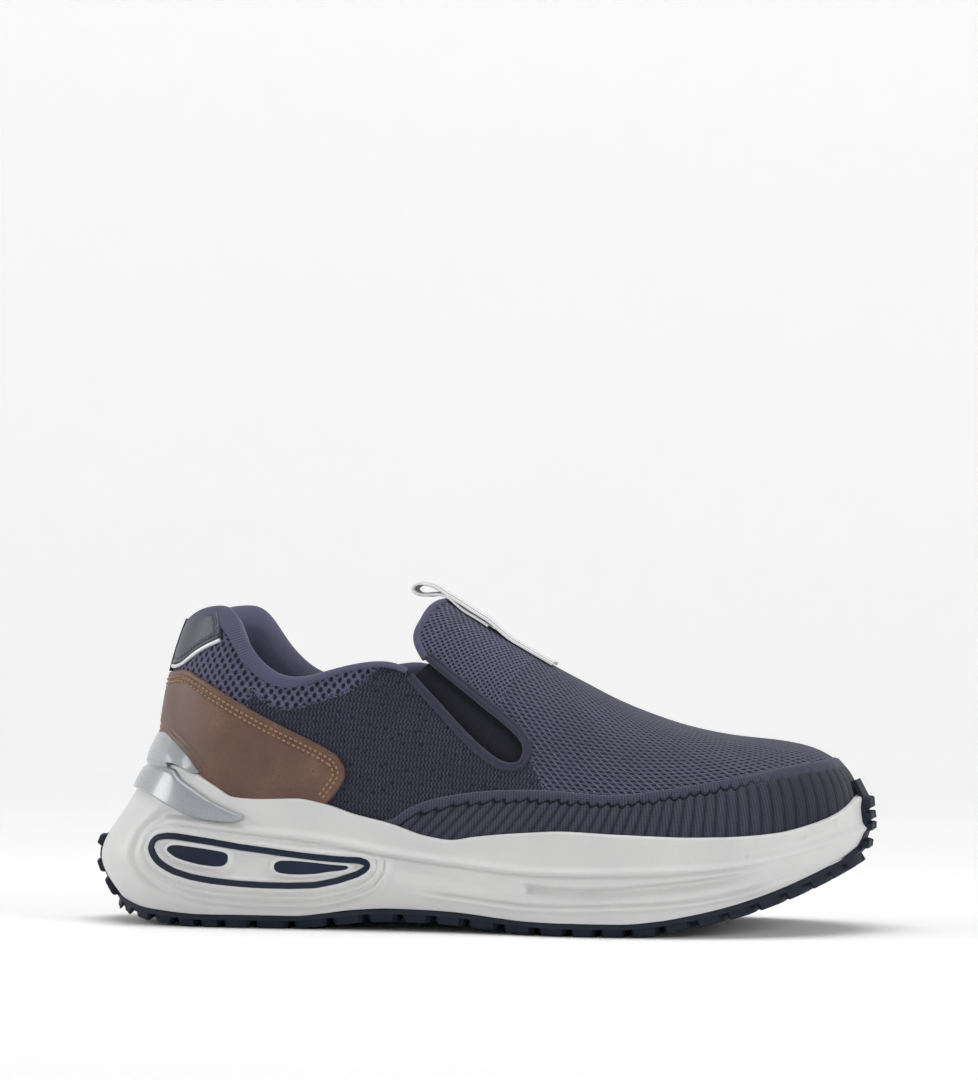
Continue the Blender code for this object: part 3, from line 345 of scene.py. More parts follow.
def wallLevel(along, height):
    bottom = wallBottom(along)
    return (height - bottom) / (wallTop(along) - bottom)


def roundWalk(samples):  # shares of the length and the way walked to them, which counts turning too
    share = unturned(np.linspace(0, np.pi, samples))
    x, y = footprint(-1, share)
    outX, outY = outward(-1, share)
    turning = np.abs(np.diff(np.unwrap(np.arctan2(outY, outX))))
    steps = np.hypot(np.diff(x), np.diff(y)) + form["turnWeight"] * turning
    return share, np.concatenate([[0], np.cumsum(steps)])


def spreadShares(start, end, count):  # shares of the length, closer where the footprint turns
    share, walked = roundWalk(4001)
    ends = np.interp([start, end], share, walked)
    shares = np.interp(np.linspace(ends[0], ends[1], count), walked, share)
    shares[0] = start
    shares[-1] = end
    return shares


# Lengths over the surface, for cloth patterns in real millimetres
gridAlong = unturned(np.linspace(0, np.pi, 361))
gridUp = np.linspace(0, 1, 161)
walkAlong = {}
walkUp = {}
for side in (-1, 1):
    edge = last(side, gridAlong, 0.25)
    walkAlong[side] = walkAlongPoints(edge)
    rows = last(side, gridAlong[:, None], gridUp[None, :])
    steps = np.linalg.norm(np.diff(rows, axis=1), axis=2)
    walkUp[side] = np.concatenate([np.zeros((len(gridAlong), 1)), np.cumsum(steps, axis=1)], axis=1)


def clothUv(side, along, up):  # millimetres round the foot and up from the sole edge
    along, up = together(along, up)
    u = np.interp(along, gridAlong, walkAlong[side])
    row = np.clip(np.interp(along, gridAlong, np.arange(len(gridAlong))), 0, len(gridAlong) - 1.001)
    column = np.clip(up, 0, 1) * (len(gridUp) - 1.001)
    i = row.astype(int)
    j = column.astype(int)
    a = row - i
    b = column - j
    grid = walkUp[side]
    v = (grid[i, j] * (1 - a) * (1 - b) + grid[i + 1, j] * a * (1 - b)
         + grid[i, j + 1] * (1 - a) * b + grid[i + 1, j + 1] * a * b)
    return np.stack([u, v], -1) / mm


# Mesh making: grids are welded where they meet, and a shell gets its inner side and its rim
def gridFaces(rows, columns, start):
    index = np.arange(rows * columns).reshape(rows, columns) + start
    return np.stack([index[:-1, :-1], index[:-1, 1:], index[1:, 1:], index[1:, :-1]], -1).reshape(-1, 4)


def weldPoints(points, reach=1e-5):
    key = np.round(points / reach).astype(np.int64)
    _, first, merged = np.unique(key, axis=0, return_index=True, return_inverse=True)
    return first, merged.reshape(-1)


def makeMesh(name, points, quads, corners, look, uv=None, tone=None, sharp=50):
    # quads hold welded points and corners hold the grid points that carry uv and tone
    repeat = quads == np.roll(quads, -1, axis=1)
    count = repeat.sum(1)
    crossed = (quads[:, 0] == quads[:, 2]) | (quads[:, 1] == quads[:, 3])
    full = (count == 0) & ~crossed
    thin = (count == 1) & ~crossed
    triangles = quads[thin][~repeat[thin]].reshape(-1, 3)
    faces = quads[full].tolist() + triangles.tolist()
    loops = np.concatenate([corners[full].ravel(), corners[thin][~repeat[thin]].ravel()])
    used, places = np.unique(np.concatenate([quads[full].ravel(), triangles.ravel()]), return_inverse=True)
    places = places.reshape(-1).tolist()
    split = 4 * int(full.sum())
    faces = [places[i:i + 4] for i in range(0, split, 4)] + \
        [places[i:i + 3] for i in range(split, len(places), 3)]
    mesh = bpy.data.meshes.new(name)
    mesh.from_pydata(points[used], [], faces)
    if uv is not None:
        layer = mesh.uv_layers.new(name="cloth")
        layer.data.foreach_set("uv", uv[loops].astype(np.float32).ravel())
    if tone is not None:
        layer = mesh.attributes.new("tone", "FLOAT", "CORNER")
        layer.data.foreach_set("value", tone[loops].astype(np.float32))
    work = bmesh.new()
    work.from_mesh(mesh)
    bmesh.ops.recalc_face_normals(work, faces=work.faces)
    if work.calc_volume(signed=True) < 0:
        bmesh.ops.reverse_faces(work, faces=work.faces)
    work.to_mesh(mesh)
    work.free()
    mesh.shade_smooth()
    mesh.set_sharp_from_angle(angle=np.radians(sharp))
    mesh.materials.append(look)
    piece = bpy.data.objects.new(name, mesh)
    bpy.context.scene.collection.objects.link(piece)
    return piece


def solidPiece(name, grids, look, sharp=50):
    # closed body from grids that meet: each is points, or (points, uv), or (points, uv, tone)
    grids = [grid if isinstance(grid, tuple) else (grid,) for grid in grids]
    points, quads, uv, tone = [], [], [], []
    start = 0
    for grid in grids:
        rows, columns = grid[0].shape[:2]
        flat = grid[0].reshape(-1, 3)
        points.append(flat)
        quads.append(gridFaces(rows, columns, start))
        uv.append(grid[1].reshape(-1, 2) if len(grid) > 1 else flat[:, [0, 2]] / mm)
        tone.append(np.broadcast_to(grid[2] if len(grid) > 2 else 0.0, (rows, columns)).reshape(-1))
        start += rows * columns
    points = np.concatenate(points)
    quads = np.concatenate(quads)
    first, merged = weldPoints(points)
    return makeMesh(name, points[first], merged[quads], quads, look, np.concatenate(uv),
                    np.concatenate(tone), sharp)


def shellPiece(name, patches, look, sharp=50):
    # a patch is (outer grid, inner grid, uv, tone, kept cells); the rim joins both along free edges
    outer, inner, quads, uv, tone = [], [], [], [], []
    start = 0
    for patch in patches:
        rows, columns = patch[0].shape[:2]
        flat = patch[0].reshape(-1, 3)
        outer.append(flat)
        inner.append(patch[1].reshape(-1, 3))
        uv.append(flat[:, [0, 2]] / mm if patch[2] is None else patch[2].reshape(-1, 2))
        tone.append(np.broadcast_to(patch[3], (rows, columns)).reshape(-1))
        faces = gridFaces(rows, columns, start)
        if len(patch) > 4:
            faces = faces[patch[4].reshape(-1)]
        quads.append(faces)
        start += rows * columns
    outer = np.concatenate(outer)
    inner = np.concatenate(inner)
    quads = np.concatenate(quads)
    first, merged = weldPoints(outer)
    count = len(first)
    welded = merged[quads]
    edges = np.stack([welded, np.roll(welded, -1, axis=1)], -1).reshape(-1, 2)
    source = np.stack([quads, np.roll(quads, -1, axis=1)], -1).reshape(-1, 2)
    real = edges[:, 0] != edges[:, 1]
    edges = edges[real]
    source = source[real]
    _, place, times = np.unique(np.sort(edges, axis=1), axis=0, return_index=True, return_counts=True)
    rim = edges[place[times == 1]]
    rimSource = source[place[times == 1]]
    rimQuads = np.stack([rim[:, 1], rim[:, 0], rim[:, 0] + count, rim[:, 1] + count], -1)
    rimCorners = np.stack([rimSource[:, 1], rimSource[:, 0], rimSource[:, 0], rimSource[:, 1]], -1)
    allQuads = np.concatenate([welded, welded[:, ::-1] + count, rimQuads])
    allCorners = np.concatenate([quads, quads[:, ::-1], rimCorners])
    points = np.concatenate([outer[first], inner[first]])
    return makeMesh(name, points, allQuads, allCorners, look, np.concatenate(uv), np.concatenate(tone), sharp)


def ringQuads(count, rings, around, caps):
    # faces of count bodies, each a stack of rings of points, with caps given as columns of a ring
    index = np.arange(count * rings * around).reshape(count, rings, around)
    walls = np.stack([index[:, :-1], np.roll(index[:, :-1], -1, axis=2),
                      np.roll(index[:, 1:], -1, axis=2), index[:, 1:]], -1).reshape(-1, 4)
    return np.concatenate([walls] + [index[:, ring, columns] for ring in (0, rings - 1) for columns in caps])


def threadPiece(name, starts, ends, normals, look, radius, sink=0.3):
    # each stitch is a short thread: rings of six round an arch that dips into the cloth at both ends
    ahead = ends - starts
    length = np.linalg.norm(ahead, axis=1, keepdims=True)
    ahead = ahead / length
    across = np.cross(normals, ahead)
    across = unit(across)
    over = np.cross(ahead, across)
    share = np.array([0.0, 0.12, 0.35, 0.65, 0.88, 1.0])
    lift = np.array([-0.9, 0.1, 0.55, 0.55, 0.1, -0.9])
    girth = np.array([0.35, 0.85, 1.0, 1.0, 0.85, 0.35])
    around = np.linspace(0, 2 * np.pi, 7)[:6]
    centre = starts[:, None] + ahead[:, None] * (share[None, :, None] * length[:, None]) \
        + over[:, None] * ((lift - sink) * radius)[None, :, None]
    ring = across[:, None, None] * np.cos(around)[None, None, :, None] \
        + over[:, None, None] * np.sin(around)[None, None, :, None]
    points = centre[:, :, None] + ring * (girth * radius)[None, :, None, None]
    quads = ringQuads(len(starts), 6, 6, ([0, 1, 2, 3], [0, 3, 4, 5]))
    flat = points.reshape(-1, 3)
    return makeMesh(name, flat, quads, quads, look, flat[:, [0, 2]] / mm, None, 60)


def stitchLine(side, curve, pitch, share, lift):
    # starts and ends of stitches along a curve on the last, evenly spaced, and their normals
    fine = trace(curve, np.linspace(0, 1, 400))
    place = skin(side, fine[:, 0], fine[:, 1], lift + creases(side, fine[:, 0], fine[:, 1]))
    walked = walkAlongPoints(place)
    count = max(int(walked[-1] / pitch), 1)
    begin = (np.arange(count) + (1 - share) / 2) * walked[-1] / count
    end = begin + share * walked[-1] / count

    def at(distance):
        return np.stack([np.interp(distance, walked, place[:, i]) for i in range(3)], -1)
    halfway = (begin + end) / 2
    normals = lastNormal(side, np.interp(halfway, walked, fine[:, 0]), np.interp(halfway, walked, fine[:, 1]))
    return at(begin), at(end), normals


# Materials
def linear(colour):  # sRGB hex to the linear values that shaders use
    channels = [int(colour[i:i + 2], 16) / 255 for i in (1, 3, 5)]
    return (*[c / 12.92 if c <= 0.04045 else ((c + 0.055) / 1.055)**2.4 for c in channels], 1.0)


def newMaterial(name, **settings):  # Principled material; settings name its own sockets
    made = bpy.data.materials.new(name)
    made.use_nodes = True
    shader = made.node_tree.nodes["Principled BSDF"]
    for key, value in settings.items():
        shader.inputs[key.replace("_", " ")].default_value = value
    return made, made.node_tree, shader


def addNode(tree, kind, inputs=None, stops=None, **settings):
    # a node with its settings; inputs are values or the sockets they come from, by name or number
    node = tree.nodes.new("ShaderNode" + kind)
    for key, value in settings.items():
        setattr(node, key, value)
    for key, value in (inputs or {}).items():
        if isinstance(value, bpy.types.Node):
            value = next(socket for socket in value.outputs if socket.enabled)
        if isinstance(value, bpy.types.NodeSocket):
            tree.links.new(value, node.inputs[key])
        else:
            node.inputs[key].default_value = value
    for i, (position, colour) in enumerate(stops or []):
        element = node.color_ramp.elements[i] if i < 2 else node.color_ramp.elements.new(position)
        element.position = position
        element.color = linear(colour)
    return node


def dress(tree, shader, colour, height, strength, distance):
    # links a colour, and a bump of a strength and a depth in mm, to the shader
    tree.links.new(colour, shader.inputs["Base Color"])
    relief = addNode(tree, "Bump", {"Height": height, "Strength": strength, "Distance": distance * mm})
    tree.links.new(relief.outputs["Normal"], shader.inputs["Normal"])


def knitHoles(tree, cloth, cell, size, turn=np.pi / 4, jitter=0.1):
    # lattice of holes, cell[0] mm apart in a row, rows cell[1] / 2 mm apart and set off by half:
    # a square grid turned by 45 degrees. Gives 0 in a hole and 1 on the yarn
    scale = (2**0.5 / cell[0], 2**0.5 / cell[1], 1)
    turned45 = addNode(tree, "Mapping", {"Vector": cloth, "Scale": scale})
    spun = addNode(tree, "Mapping", {"Vector": turned45.outputs["Vector"], "Rotation": (0, 0, turn)})
    cells = addNode(tree, "TexVoronoi", {"Vector": spun, "Scale": 1.0, "Randomness": jitter},
                    voronoi_dimensions="2D", feature="F1")
    holes = addNode(tree, "MapRange", {"Value": cells, "From Min": size[0], "From Max": size[1]},
                    interpolation_type="SMOOTHSTEP")
    return holes


# Engineered knit of polyester yarn: matt, soft sheen; its colour follows the yarn's height, so the
# open holes and hollows are painted shade and the raised yarns carry a painted highlight.
# The tone attribute picks the structure: 0 fine vertical rib, 1 fine diamond mesh, 2 slanted
# brick mesh, 3 open mesh
knit = dict(yarn="#4b4964", yarnHighlight="#827f9f", shade="#29293a", hole="#0f0f18", rib=1.5, stitch=1.1,
            fine=(2.3, 2.5), brick=(3.1, 1.55), slant=1.0, open=(3.4, 4.3))


def knitMaterial():
    made, tree, shader = newMaterial("engineered knit, navy", Roughness=0.85, Sheen_Weight=0.15,
                                     Sheen_Roughness=0.5, Specular_IOR_Level=0.25)
    cloth = addNode(tree, "UVMap", uv_map="cloth").outputs["UV"]
    tone = addNode(tree, "Attribute", attribute_name="tone").outputs["Fac"]
    rib = knitHoles(tree, cloth, (knit["rib"], knit["stitch"] * 2), (0.05, 0.55), jitter=0.15)
    fine = knitHoles(tree, cloth, knit["fine"], (0.14, 0.48), jitter=0.12)
    wide = knitHoles(tree, cloth, knit["open"], (0.20, 0.44), jitter=0.12)
    # narrow wales of the quarter: low lines between columns of stitches, which the colour ramp paints dark as
    # painted shade
    split = addNode(tree, "SeparateXYZ", {"Vector": cloth})
    wales = addNode(tree, "Math", {0: split.outputs["X"], 1: 2 * np.pi / knit["rib"]}, operation="MULTIPLY")
    wales = addNode(tree, "Math", {0: wales}, operation="SINE")
    wales = addNode(tree, "MapRange", {"Value": wales, "From Min": -1.0, "From Max": 0.4,
                                       "To Min": 0.26, "To Max": 0.66})
    rib = addNode(tree, "Math", {0: rib, 1: wales}, operation="MULTIPLY")
    # scattered ventilation holes of the quarter
    spots = addNode(tree, "TexVoronoi", {"Vector": cloth, "Scale": 0.16, "Randomness": 0.85},
                    voronoi_dimensions="2D", feature="F1")
    spots = addNode(tree, "MapRange", {"Value": spots, "From Min": 0.07, "From Max": 0.14,
                                       "To Min": 0.25}, interpolation_type="SMOOTHSTEP")
    rib = addNode(tree, "Math", {0: rib, 1: spots}, operation="MULTIPLY")
    # staggered long holes of the vamp: level yarns, crossed by yarns that run aslant and stand higher,
    # so that the colour ramp paints them brighter as a painted highlight
    wander = addNode(tree, "TexNoise", {"Vector": cloth, "Scale": 0.35, "Detail": 1.0})
    leaned = addNode(tree, "Math", {0: split.outputs["Y"], 1: knit["slant"], 2: split.outputs["X"]},
                     operation="MULTIPLY_ADD")
    leaned = addNode(tree, "Math", {0: wander, 1: 0.9, 2: leaned},
                     operation="MULTIPLY_ADD")
    yarns = []
    for place, pitch, thick, high in ((leaned, knit["brick"][0], (0.25, 0.95), 1.0),
                                      (split.outputs["Y"], knit["brick"][1], (0.16, 0.56), 0.8)):
        apart = addNode(tree, "Math", {0: place, 1: pitch / 2}, operation="PINGPONG")
        yarns.append(addNode(tree, "MapRange", {"Value": apart, "From Min": thick[0],
                                                "From Max": thick[1], "To Min": high, "To Max": 0.0}))
    brick = addNode(tree, "Math", {0: yarns[0], 1: yarns[1]}, operation="MAXIMUM")
    height = rib
    for level, structure in ((0.5, fine), (1.5, brick), (2.5, wide)):
        step = addNode(tree, "MapRange", {"Value": tone, "From Min": level - 0.15, "From Max": level + 0.15})
        height = addNode(tree, "Mix", {0: step, 2: height, 3: structure}, data_type="FLOAT").outputs[0]
    # yarn lustre: fine grain along the threads and soft uneven dye
    grain = addNode(tree, "TexNoise", {"Vector": cloth, "Scale": 2.4, "Detail": 2.0, "Roughness": 0.6})
    dye = addNode(tree, "TexNoise", {"Vector": cloth, "Scale": 0.05, "Detail": 2.0})
    level = addNode(tree, "Math", {0: height, 1: grain}, operation="MULTIPLY")
    level = addNode(tree, "MapRange", {"Value": level, "From Min": 0.0, "From Max": 0.72})
    # painted light from the height: painted shade in the holes and between the yarns, a painted highlight on
    # the yarns' tops
    colour = addNode(tree, "ValToRGB", {"Fac": level}, stops=[
        (0.0, knit["hole"]), (1.0, knit["yarnHighlight"]), (0.28, knit["shade"]), (0.68, knit["yarn"])])
    bright = addNode(tree, "MapRange", {"Value": dye, "From Min": 0.3, "From Max": 0.7,
                                        "To Min": 0.86, "To Max": 1.12})
    tinted = addNode(tree, "HueSaturation", {"Color": colour, "Fac": 1.0, "Value": bright})
    dress(tree, shader, tinted.outputs["Color"], height, 0.9, 0.6)
    return made


def clothMaterial(name, colour, light, bands, pitch, strength, roughness=0.85, sheen=0.15, turn=0.0,
                  shade=None):
    # woven or knitted cloth: bands pitch mm apart across the piece's own uv, crossed by a finer
    # weave; the raised threads take the light colour as a painted highlight, mixed with random fuzz,
    # and where a shade is given, the tone attribute darkens towards it: painted shade, and on the ribbon also
    # seam lines
    made, tree, shader = newMaterial(name, Roughness=roughness, Sheen_Weight=sheen, Sheen_Roughness=0.45,
                                     Specular_IOR_Level=0.25)
    cloth = addNode(tree, "UVMap", uv_map="cloth").outputs["UV"]
    spun = addNode(tree, "Mapping", {"Vector": cloth, "Rotation": (0, 0, turn)}).outputs["Vector"]
    wavy = {"Vector": spun, "Distortion": 0.6, "Detail": 1.0, "Detail Scale": 4.0}
    wave = addNode(tree, "TexWave", {**wavy, "Scale": 0.314 / pitch[0]}, bands_direction=bands)
    cross = addNode(tree, "TexWave", {**wavy, "Scale": 0.314 / pitch[1]},
                    bands_direction="Y" if bands == "X" else "X")
    fuzz = addNode(tree, "TexNoise", {"Vector": cloth, "Scale": 1.6, "Detail": 3.0})
    both = addNode(tree, "Math", {0: cross.outputs["Fac"], 1: 0.4, 2: 0.0}, operation="MULTIPLY_ADD")
    height = addNode(tree, "Math", {0: wave.outputs["Fac"], 1: 0.6, 2: both}, operation="MULTIPLY_ADD")
    level = addNode(tree, "Math", {0: fuzz, 1: 0.5, 2: height}, operation="MULTIPLY_ADD")
    # a painted highlight: light colour on the raised threads, base colour in the dips, with random fuzz
    dyed = addNode(tree, "ValToRGB", {"Fac": level}, stops=[(0.25, colour), (1.0, light)]).outputs["Color"]
    if shade:
        tone = addNode(tree, "Attribute", attribute_name="tone").outputs["Fac"]
        # painted shade from the tone attribute, and seam lines where a piece's tone draws them
        dyed = addNode(tree, "Mix", {0: tone, 6: dyed, 7: linear(shade)}, data_type="RGBA").outputs[2]
    dress(tree, shader, dyed, height, strength, 0.3)
    return made


def leatherMaterial(name, colour, light, dark, grain, roughness, strength, coat=0.0):
    # polished or printed hide: pebbled cells grain mm across, darker in the creases as painted shade
    made, tree, shader = newMaterial(name, Roughness=roughness, Specular_IOR_Level=0.5, Coat_Weight=coat,
                                     Coat_Roughness=0.35)
    place = addNode(tree, "TexCoord").outputs["Object"]
    cells = addNode(tree, "TexVoronoi", {"Vector": place, "Scale": 1.0 / (grain * mm), "Randomness": 1.0},
                    feature="DISTANCE_TO_EDGE")
    pebble = addNode(tree, "MapRange", {"Value": cells, "From Min": 0.0, "From Max": 0.1})
    cloud = addNode(tree, "TexNoise", {"Vector": place, "Scale": 55.0, "Detail": 4.0, "Roughness": 0.55})
    fibre = addNode(tree, "TexNoise", {"Vector": place, "Scale": 500.0, "Detail": 2.0})
    base = addNode(tree, "ValToRGB", {"Fac": cloud}, stops=[(0.3, dark), (0.72, light), (0.5, colour)])
    # painted shade: the creases between the pebbles darkened
    creaseShade = addNode(tree, "Mix", {0: pebble, 6: linear(dark), 7: base}, data_type="RGBA")
    rough = addNode(tree, "MapRange", {"Value": cloud, "From Min": 0.3, "From Max": 0.7,
                                       "To Min": roughness - 0.06, "To Max": roughness + 0.06})
    tree.links.new(rough.outputs["Result"], shader.inputs["Roughness"])
    height = addNode(tree, "Math", {0: fibre, 1: 0.3, 2: pebble}, operation="MULTIPLY_ADD")
    dress(tree, shader, creaseShade.outputs[2], height, strength, 0.12)
    return made


def mouldedMaterial(name, colour, light, roughness, speck, strength, coat=0.0, grain=0.4, specular=0.5):
    # moulded foam, rubber or plastic: faint speckle of the tool's texture and soft mottling
    made, tree, shader = newMaterial(name, Roughness=roughness, Specular_IOR_Level=specular, Coat_Weight=coat,
                                     Coat_Roughness=0.15)
    place = addNode(tree, "TexCoord").outputs["Object"]
    speckle = addNode(tree, "TexNoise", {"Vector": place, "Scale": 1.0 / (speck * mm), "Detail": 2.0,
                                         "Roughness": 0.6})
    mottle = addNode(tree, "TexNoise", {"Vector": place, "Scale": 28.0, "Detail": 3.0})
    blend = addNode(tree, "Mix", {0: grain, 2: mottle, 3: speckle}, data_type="FLOAT").outputs[0]
    tint = addNode(tree, "ValToRGB", {"Fac": blend}, stops=[(0.32, colour), (0.68, light)])
    rough = addNode(tree, "MapRange", {"Value": speckle, "From Min": 0.3, "From Max": 0.7,
                                       "To Min": roughness - 0.15 * grain,
                                       "To Max": roughness + 0.15 * grain})
    tree.links.new(rough.outputs["Result"], shader.inputs["Roughness"])
    dress(tree, shader, tint.outputs["Color"], speckle, strength, 0.1)
    return made


# knit, jersey and webbing: matt, with a faint sheen at the edges and a soft painted highlight on each yarn
knitUpper = knitMaterial()
# dense rib knit: its shade colour is painted shade between the rand's ribs and in its notch
ribbedKnit = clothMaterial("dense rib knit, navy", "#2b2b39", "#454558", "X", (1.1, 0.8), 0.5,
                           shade="#0c0c13")
liningKnit = clothMaterial("brushed lining knit, dusk blue", "#3a394e", "#57566e", "X", (0.7, 0.6), 0.22,
                           turn=0.6)
rollKnit = clothMaterial("fine rolled jersey, dusk blue", "#3b3a50", "#58566f", "X", (0.7, 0.6), 0.25)
elasticWeb = clothMaterial("elastic webbing, near black", "#0b0c12", "#1b1c26", "Y", (0.9, 0.6), 0.35,
                           sheen=0.05)
tapeWeave = clothMaterial("folded jersey tape, navy", "#222331", "#3b3b4e", "X", (0.7, 0.6), 0.3)
# white ribbon: its shade colour draws the seam lines on the tab's outer face and paints shade over its inner
# and under faces
whiteWebbing = clothMaterial("woven ribbon, white", "#b9b9bb", "#e6e6e7", "Y", (0.8, 0.6), 0.3, sheen=0.05,
                             shade="#2c2d38")
darkWebbing = clothMaterial("narrow webbing, ink", "#17181f", "#343743", "X", (0.9, 0.7), 0.4, sheen=0.1)
soleCloth = clothMaterial("sock liner cloth, dusk blue", "#3f3e57", "#5d5b7b", "X", (0.9, 0.9), 0.35)
# leather: satin, its pebbled grain breaking up a broad highlight, cloudy in colour like hide
tanLeather = leatherMaterial("smooth tan leather", "#624638", "#745441", "#4f382d", 0.9, 0.48, 0.25,
                             coat=0.05)
navyLeather = leatherMaterial("embossed synthetic leather, navy", "#272a3a", "#363a4d", "#191c29", 0.8, 0.4,
                              0.35, coat=0.1)
# foam is dull and even, plastic has a clear sharp highlight, rubber is dark with a weak one
foam = mouldedMaterial("moulded foam, off-white", "#bfbfbf", "#cccccb", 0.45, 0.35, 0.25)
greyPlastic = mouldedMaterial("moulded plastic, pearl grey", "#868a8e", "#989ca0", 0.28, 0.6, 0.02,
                              coat=0.5, grain=0.08)
inlayRubber = mouldedMaterial("inlaid rubber, navy", "#121a29", "#1b2537", 0.45, 0.3, 0.1, specular=0.2)
treadRubber = mouldedMaterial("moulded tread rubber, navy", "#151a26", "#212836", 0.65, 0.4, 0.3,
                              specular=0.2)
# twisted thread: slightly glossier than the cloth it lies on, so that each stitch glints
ochreThread = clothMaterial("waxed thread, ochre", "#7e5c40", "#a58262", "X", (0.4, 0.4), 0.2,
                            roughness=0.55, sheen=0.1)
greyThread = clothMaterial("polyester thread, grey", "#3c3e49", "#6c6e7b", "X", (0.4, 0.4), 0.2,
                           roughness=0.5, sheen=0.1)
# reflective piping: half metallic and finely beaded, bright from every side
silverPiping, silverTree, silverShader = newMaterial(
    "reflective piping, silver", Roughness=0.38, Metallic=0.55, Base_Color=linear("#c9ccd0"))
place = addNode(silverTree, "TexCoord").outputs["Object"]
silverGrain = addNode(silverTree, "TexNoise", {"Vector": place, "Scale": 2600.0, "Detail": 2.0})
silverRelief = addNode(silverTree, "Bump", {"Height": silverGrain, "Strength": 0.4, "Distance": 0.1 * mm})
silverTree.links.new(silverRelief.outputs["Normal"], silverShader.inputs["Normal"])
print("materials made:", len(bpy.data.materials))


# Knit upper: quarter and vamp of each side, cut by the collar, the tongue and the elastic slot
upperCut = dict(wall=2.2 * mm, quarterColumns=110, vampColumns=128, riseRows=14, edgeRows=30, tongueRows=32,
                randColumns=240, randRows=9, wrinkle=0.28 * mm)


def creases(side, along, up):
    # soft folds: where the foot bends, below the slot and round the ankle, plus the
    # slight unevenness of cloth stretched on a last, as sums of slow sines
    point = last(side, along, up)
    x = point[..., 0] / mm
    z = point[..., 2] / mm
    uneven = np.sin(x * 0.115 + z * 0.07 + side) * np.sin(z * 0.16 - x * 0.031) * 0.5
    uneven = uneven + np.sin(x * 0.21 - z * 0.12) * np.sin(z * 0.09 + x * 0.05 + 2 * side) * 0.25
    flexUp = ease(0.30, 0.42, up) * (1 - ease(0.80, 0.95, up))
    flex = bump(0.605, 0.012, along + 0.05 * (up - 0.5)) * 1.3 \
        + bump(0.655, 0.012, along + 0.03 * (up - 0.5)) * 0.9
    ankle = bump(0.215, 0.02, along) * bump(0.22, 0.07, up) * 1.2 \
        + bump(0.29, 0.016, along) * bump(0.27, 0.06, up)
    fade = ease(0.02, 0.08, along) * (1 - ease(0.90, 0.99, along)) * (1 - ease(0.93, 0.995, up))
    return (uneven * fade - (flex * flexUp + ankle) * 0.8) * upperCut["wrinkle"]


# where the vamp's mesh begins: share of the way up, share of the length
meshTable = np.array([
    (0.00, 0.625), (0.20, 0.615), (0.30, 0.588), (0.40, 0.562), (0.434, 0.546), (0.461, 0.521),
    (0.482, 0.490), (0.504, 0.454), (0.525, 0.414), (0.540, 0.386), (0.60, 0.33), (1.00, 0.30)])


def knitTone(side, along, up):
    # 3 in the open mesh along the collar and behind the heel panel, 1 on the tongue, 2 on the
    # vamp, 0 on the quarter
    band = topline(side, along) - up
    openBand = (1 - ease(0.068, 0.072, band + 0.10 * ease(0.29, 0.36, along))) * (along < 0.36)
    heelBand = (1 - ease(0.148, 0.154, along + 0.12 * (band - 0.1)))
    front = ease(-0.002, 0.002, along - np.interp(up, meshTable[:, 0], meshTable[:, 1]))
    vamp = front * (1 + ease(0.508, 0.514, along + 0.08 * (0.5 - up)))
    return np.maximum(vamp, 3 * np.maximum(openBand, heelBand))


upperPatches = []
for side in (-1, 1):
    slotShare = slotTable[slotEnd, 0]
    quarter = spreadShares(0, slotShare, upperCut["quarterColumns"])
    vamp = spreadShares(slotShare, 1, upperCut["vampColumns"])
    rear = trace(slotTable[:slotEnd + 1], np.linspace(1, 0, upperCut["edgeRows"] + 1))
    front = trace(slotTable[slotEnd:], np.linspace(0, 1, upperCut["edgeRows"] + 1))
    tongue = trace(tongueTable, np.linspace(0, 1, upperCut["tongueRows"] + 1))
    foot = np.array([slotShare, randEdge(slotShare)])
    rise = foot + (rear[0] - foot) * np.linspace(0, 1, upperCut["riseRows"] + 1)[:, None]
    rearColumn = np.concatenate([rise, rear[1:]])
    frontColumn = np.concatenate([rise, front[1:], tongue[1:]])
    low = np.stack([quarter, randEdge(quarter)], -1)
    squeeze = (quarter / quarter[-1])**2
    topAlong = quarter * (1 - squeeze) + toplineTable[-1, 0] * squeeze * quarter / quarter[-1]
    topAlong = np.minimum(topAlong, toplineTable[-1, 0])
    top = np.stack([topAlong, topline(side, topAlong)], -1)
    back = np.stack([np.zeros(len(rearColumn)), np.linspace(low[0, 1], top[0, 1], len(rearColumn))], -1)
    sheets = [coons(low, top, back, rearColumn)]
    low = np.stack([vamp, randEdge(vamp)], -1)
    ridge = np.stack([np.linspace(tongue[-1, 0], 1, len(vamp)), np.ones(len(vamp))], -1)
    toe = np.stack([np.ones(len(frontColumn)), np.linspace(low[-1, 1], 1, len(frontColumn))], -1)
    sheets.append(coons(low, ridge, frontColumn, toe))
    randAlong = spreadShares(0, 1, upperCut["randColumns"])
    rows = np.linspace(0, 1, upperCut["randRows"])[:, None]
    sheets.append(np.stack(np.broadcast_arrays(randAlong[None], rows * randEdge(randAlong)[None]), -1))
    for sheet in sheets:
        along, up = sheet[..., 0], sheet[..., 1]
        out = creases(side, along, up)
        upperPatches.append((skin(side, along, up, out), skin(side, along, up, out - upperCut["wall"]),
                             clothUv(side, along, up), knitTone(side, along, up)))
upper = shellPiece("knitUpper", upperPatches, knitUpper)
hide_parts("upper")
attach(upper, "root")
print("upper:", len(upper.data.polygons))
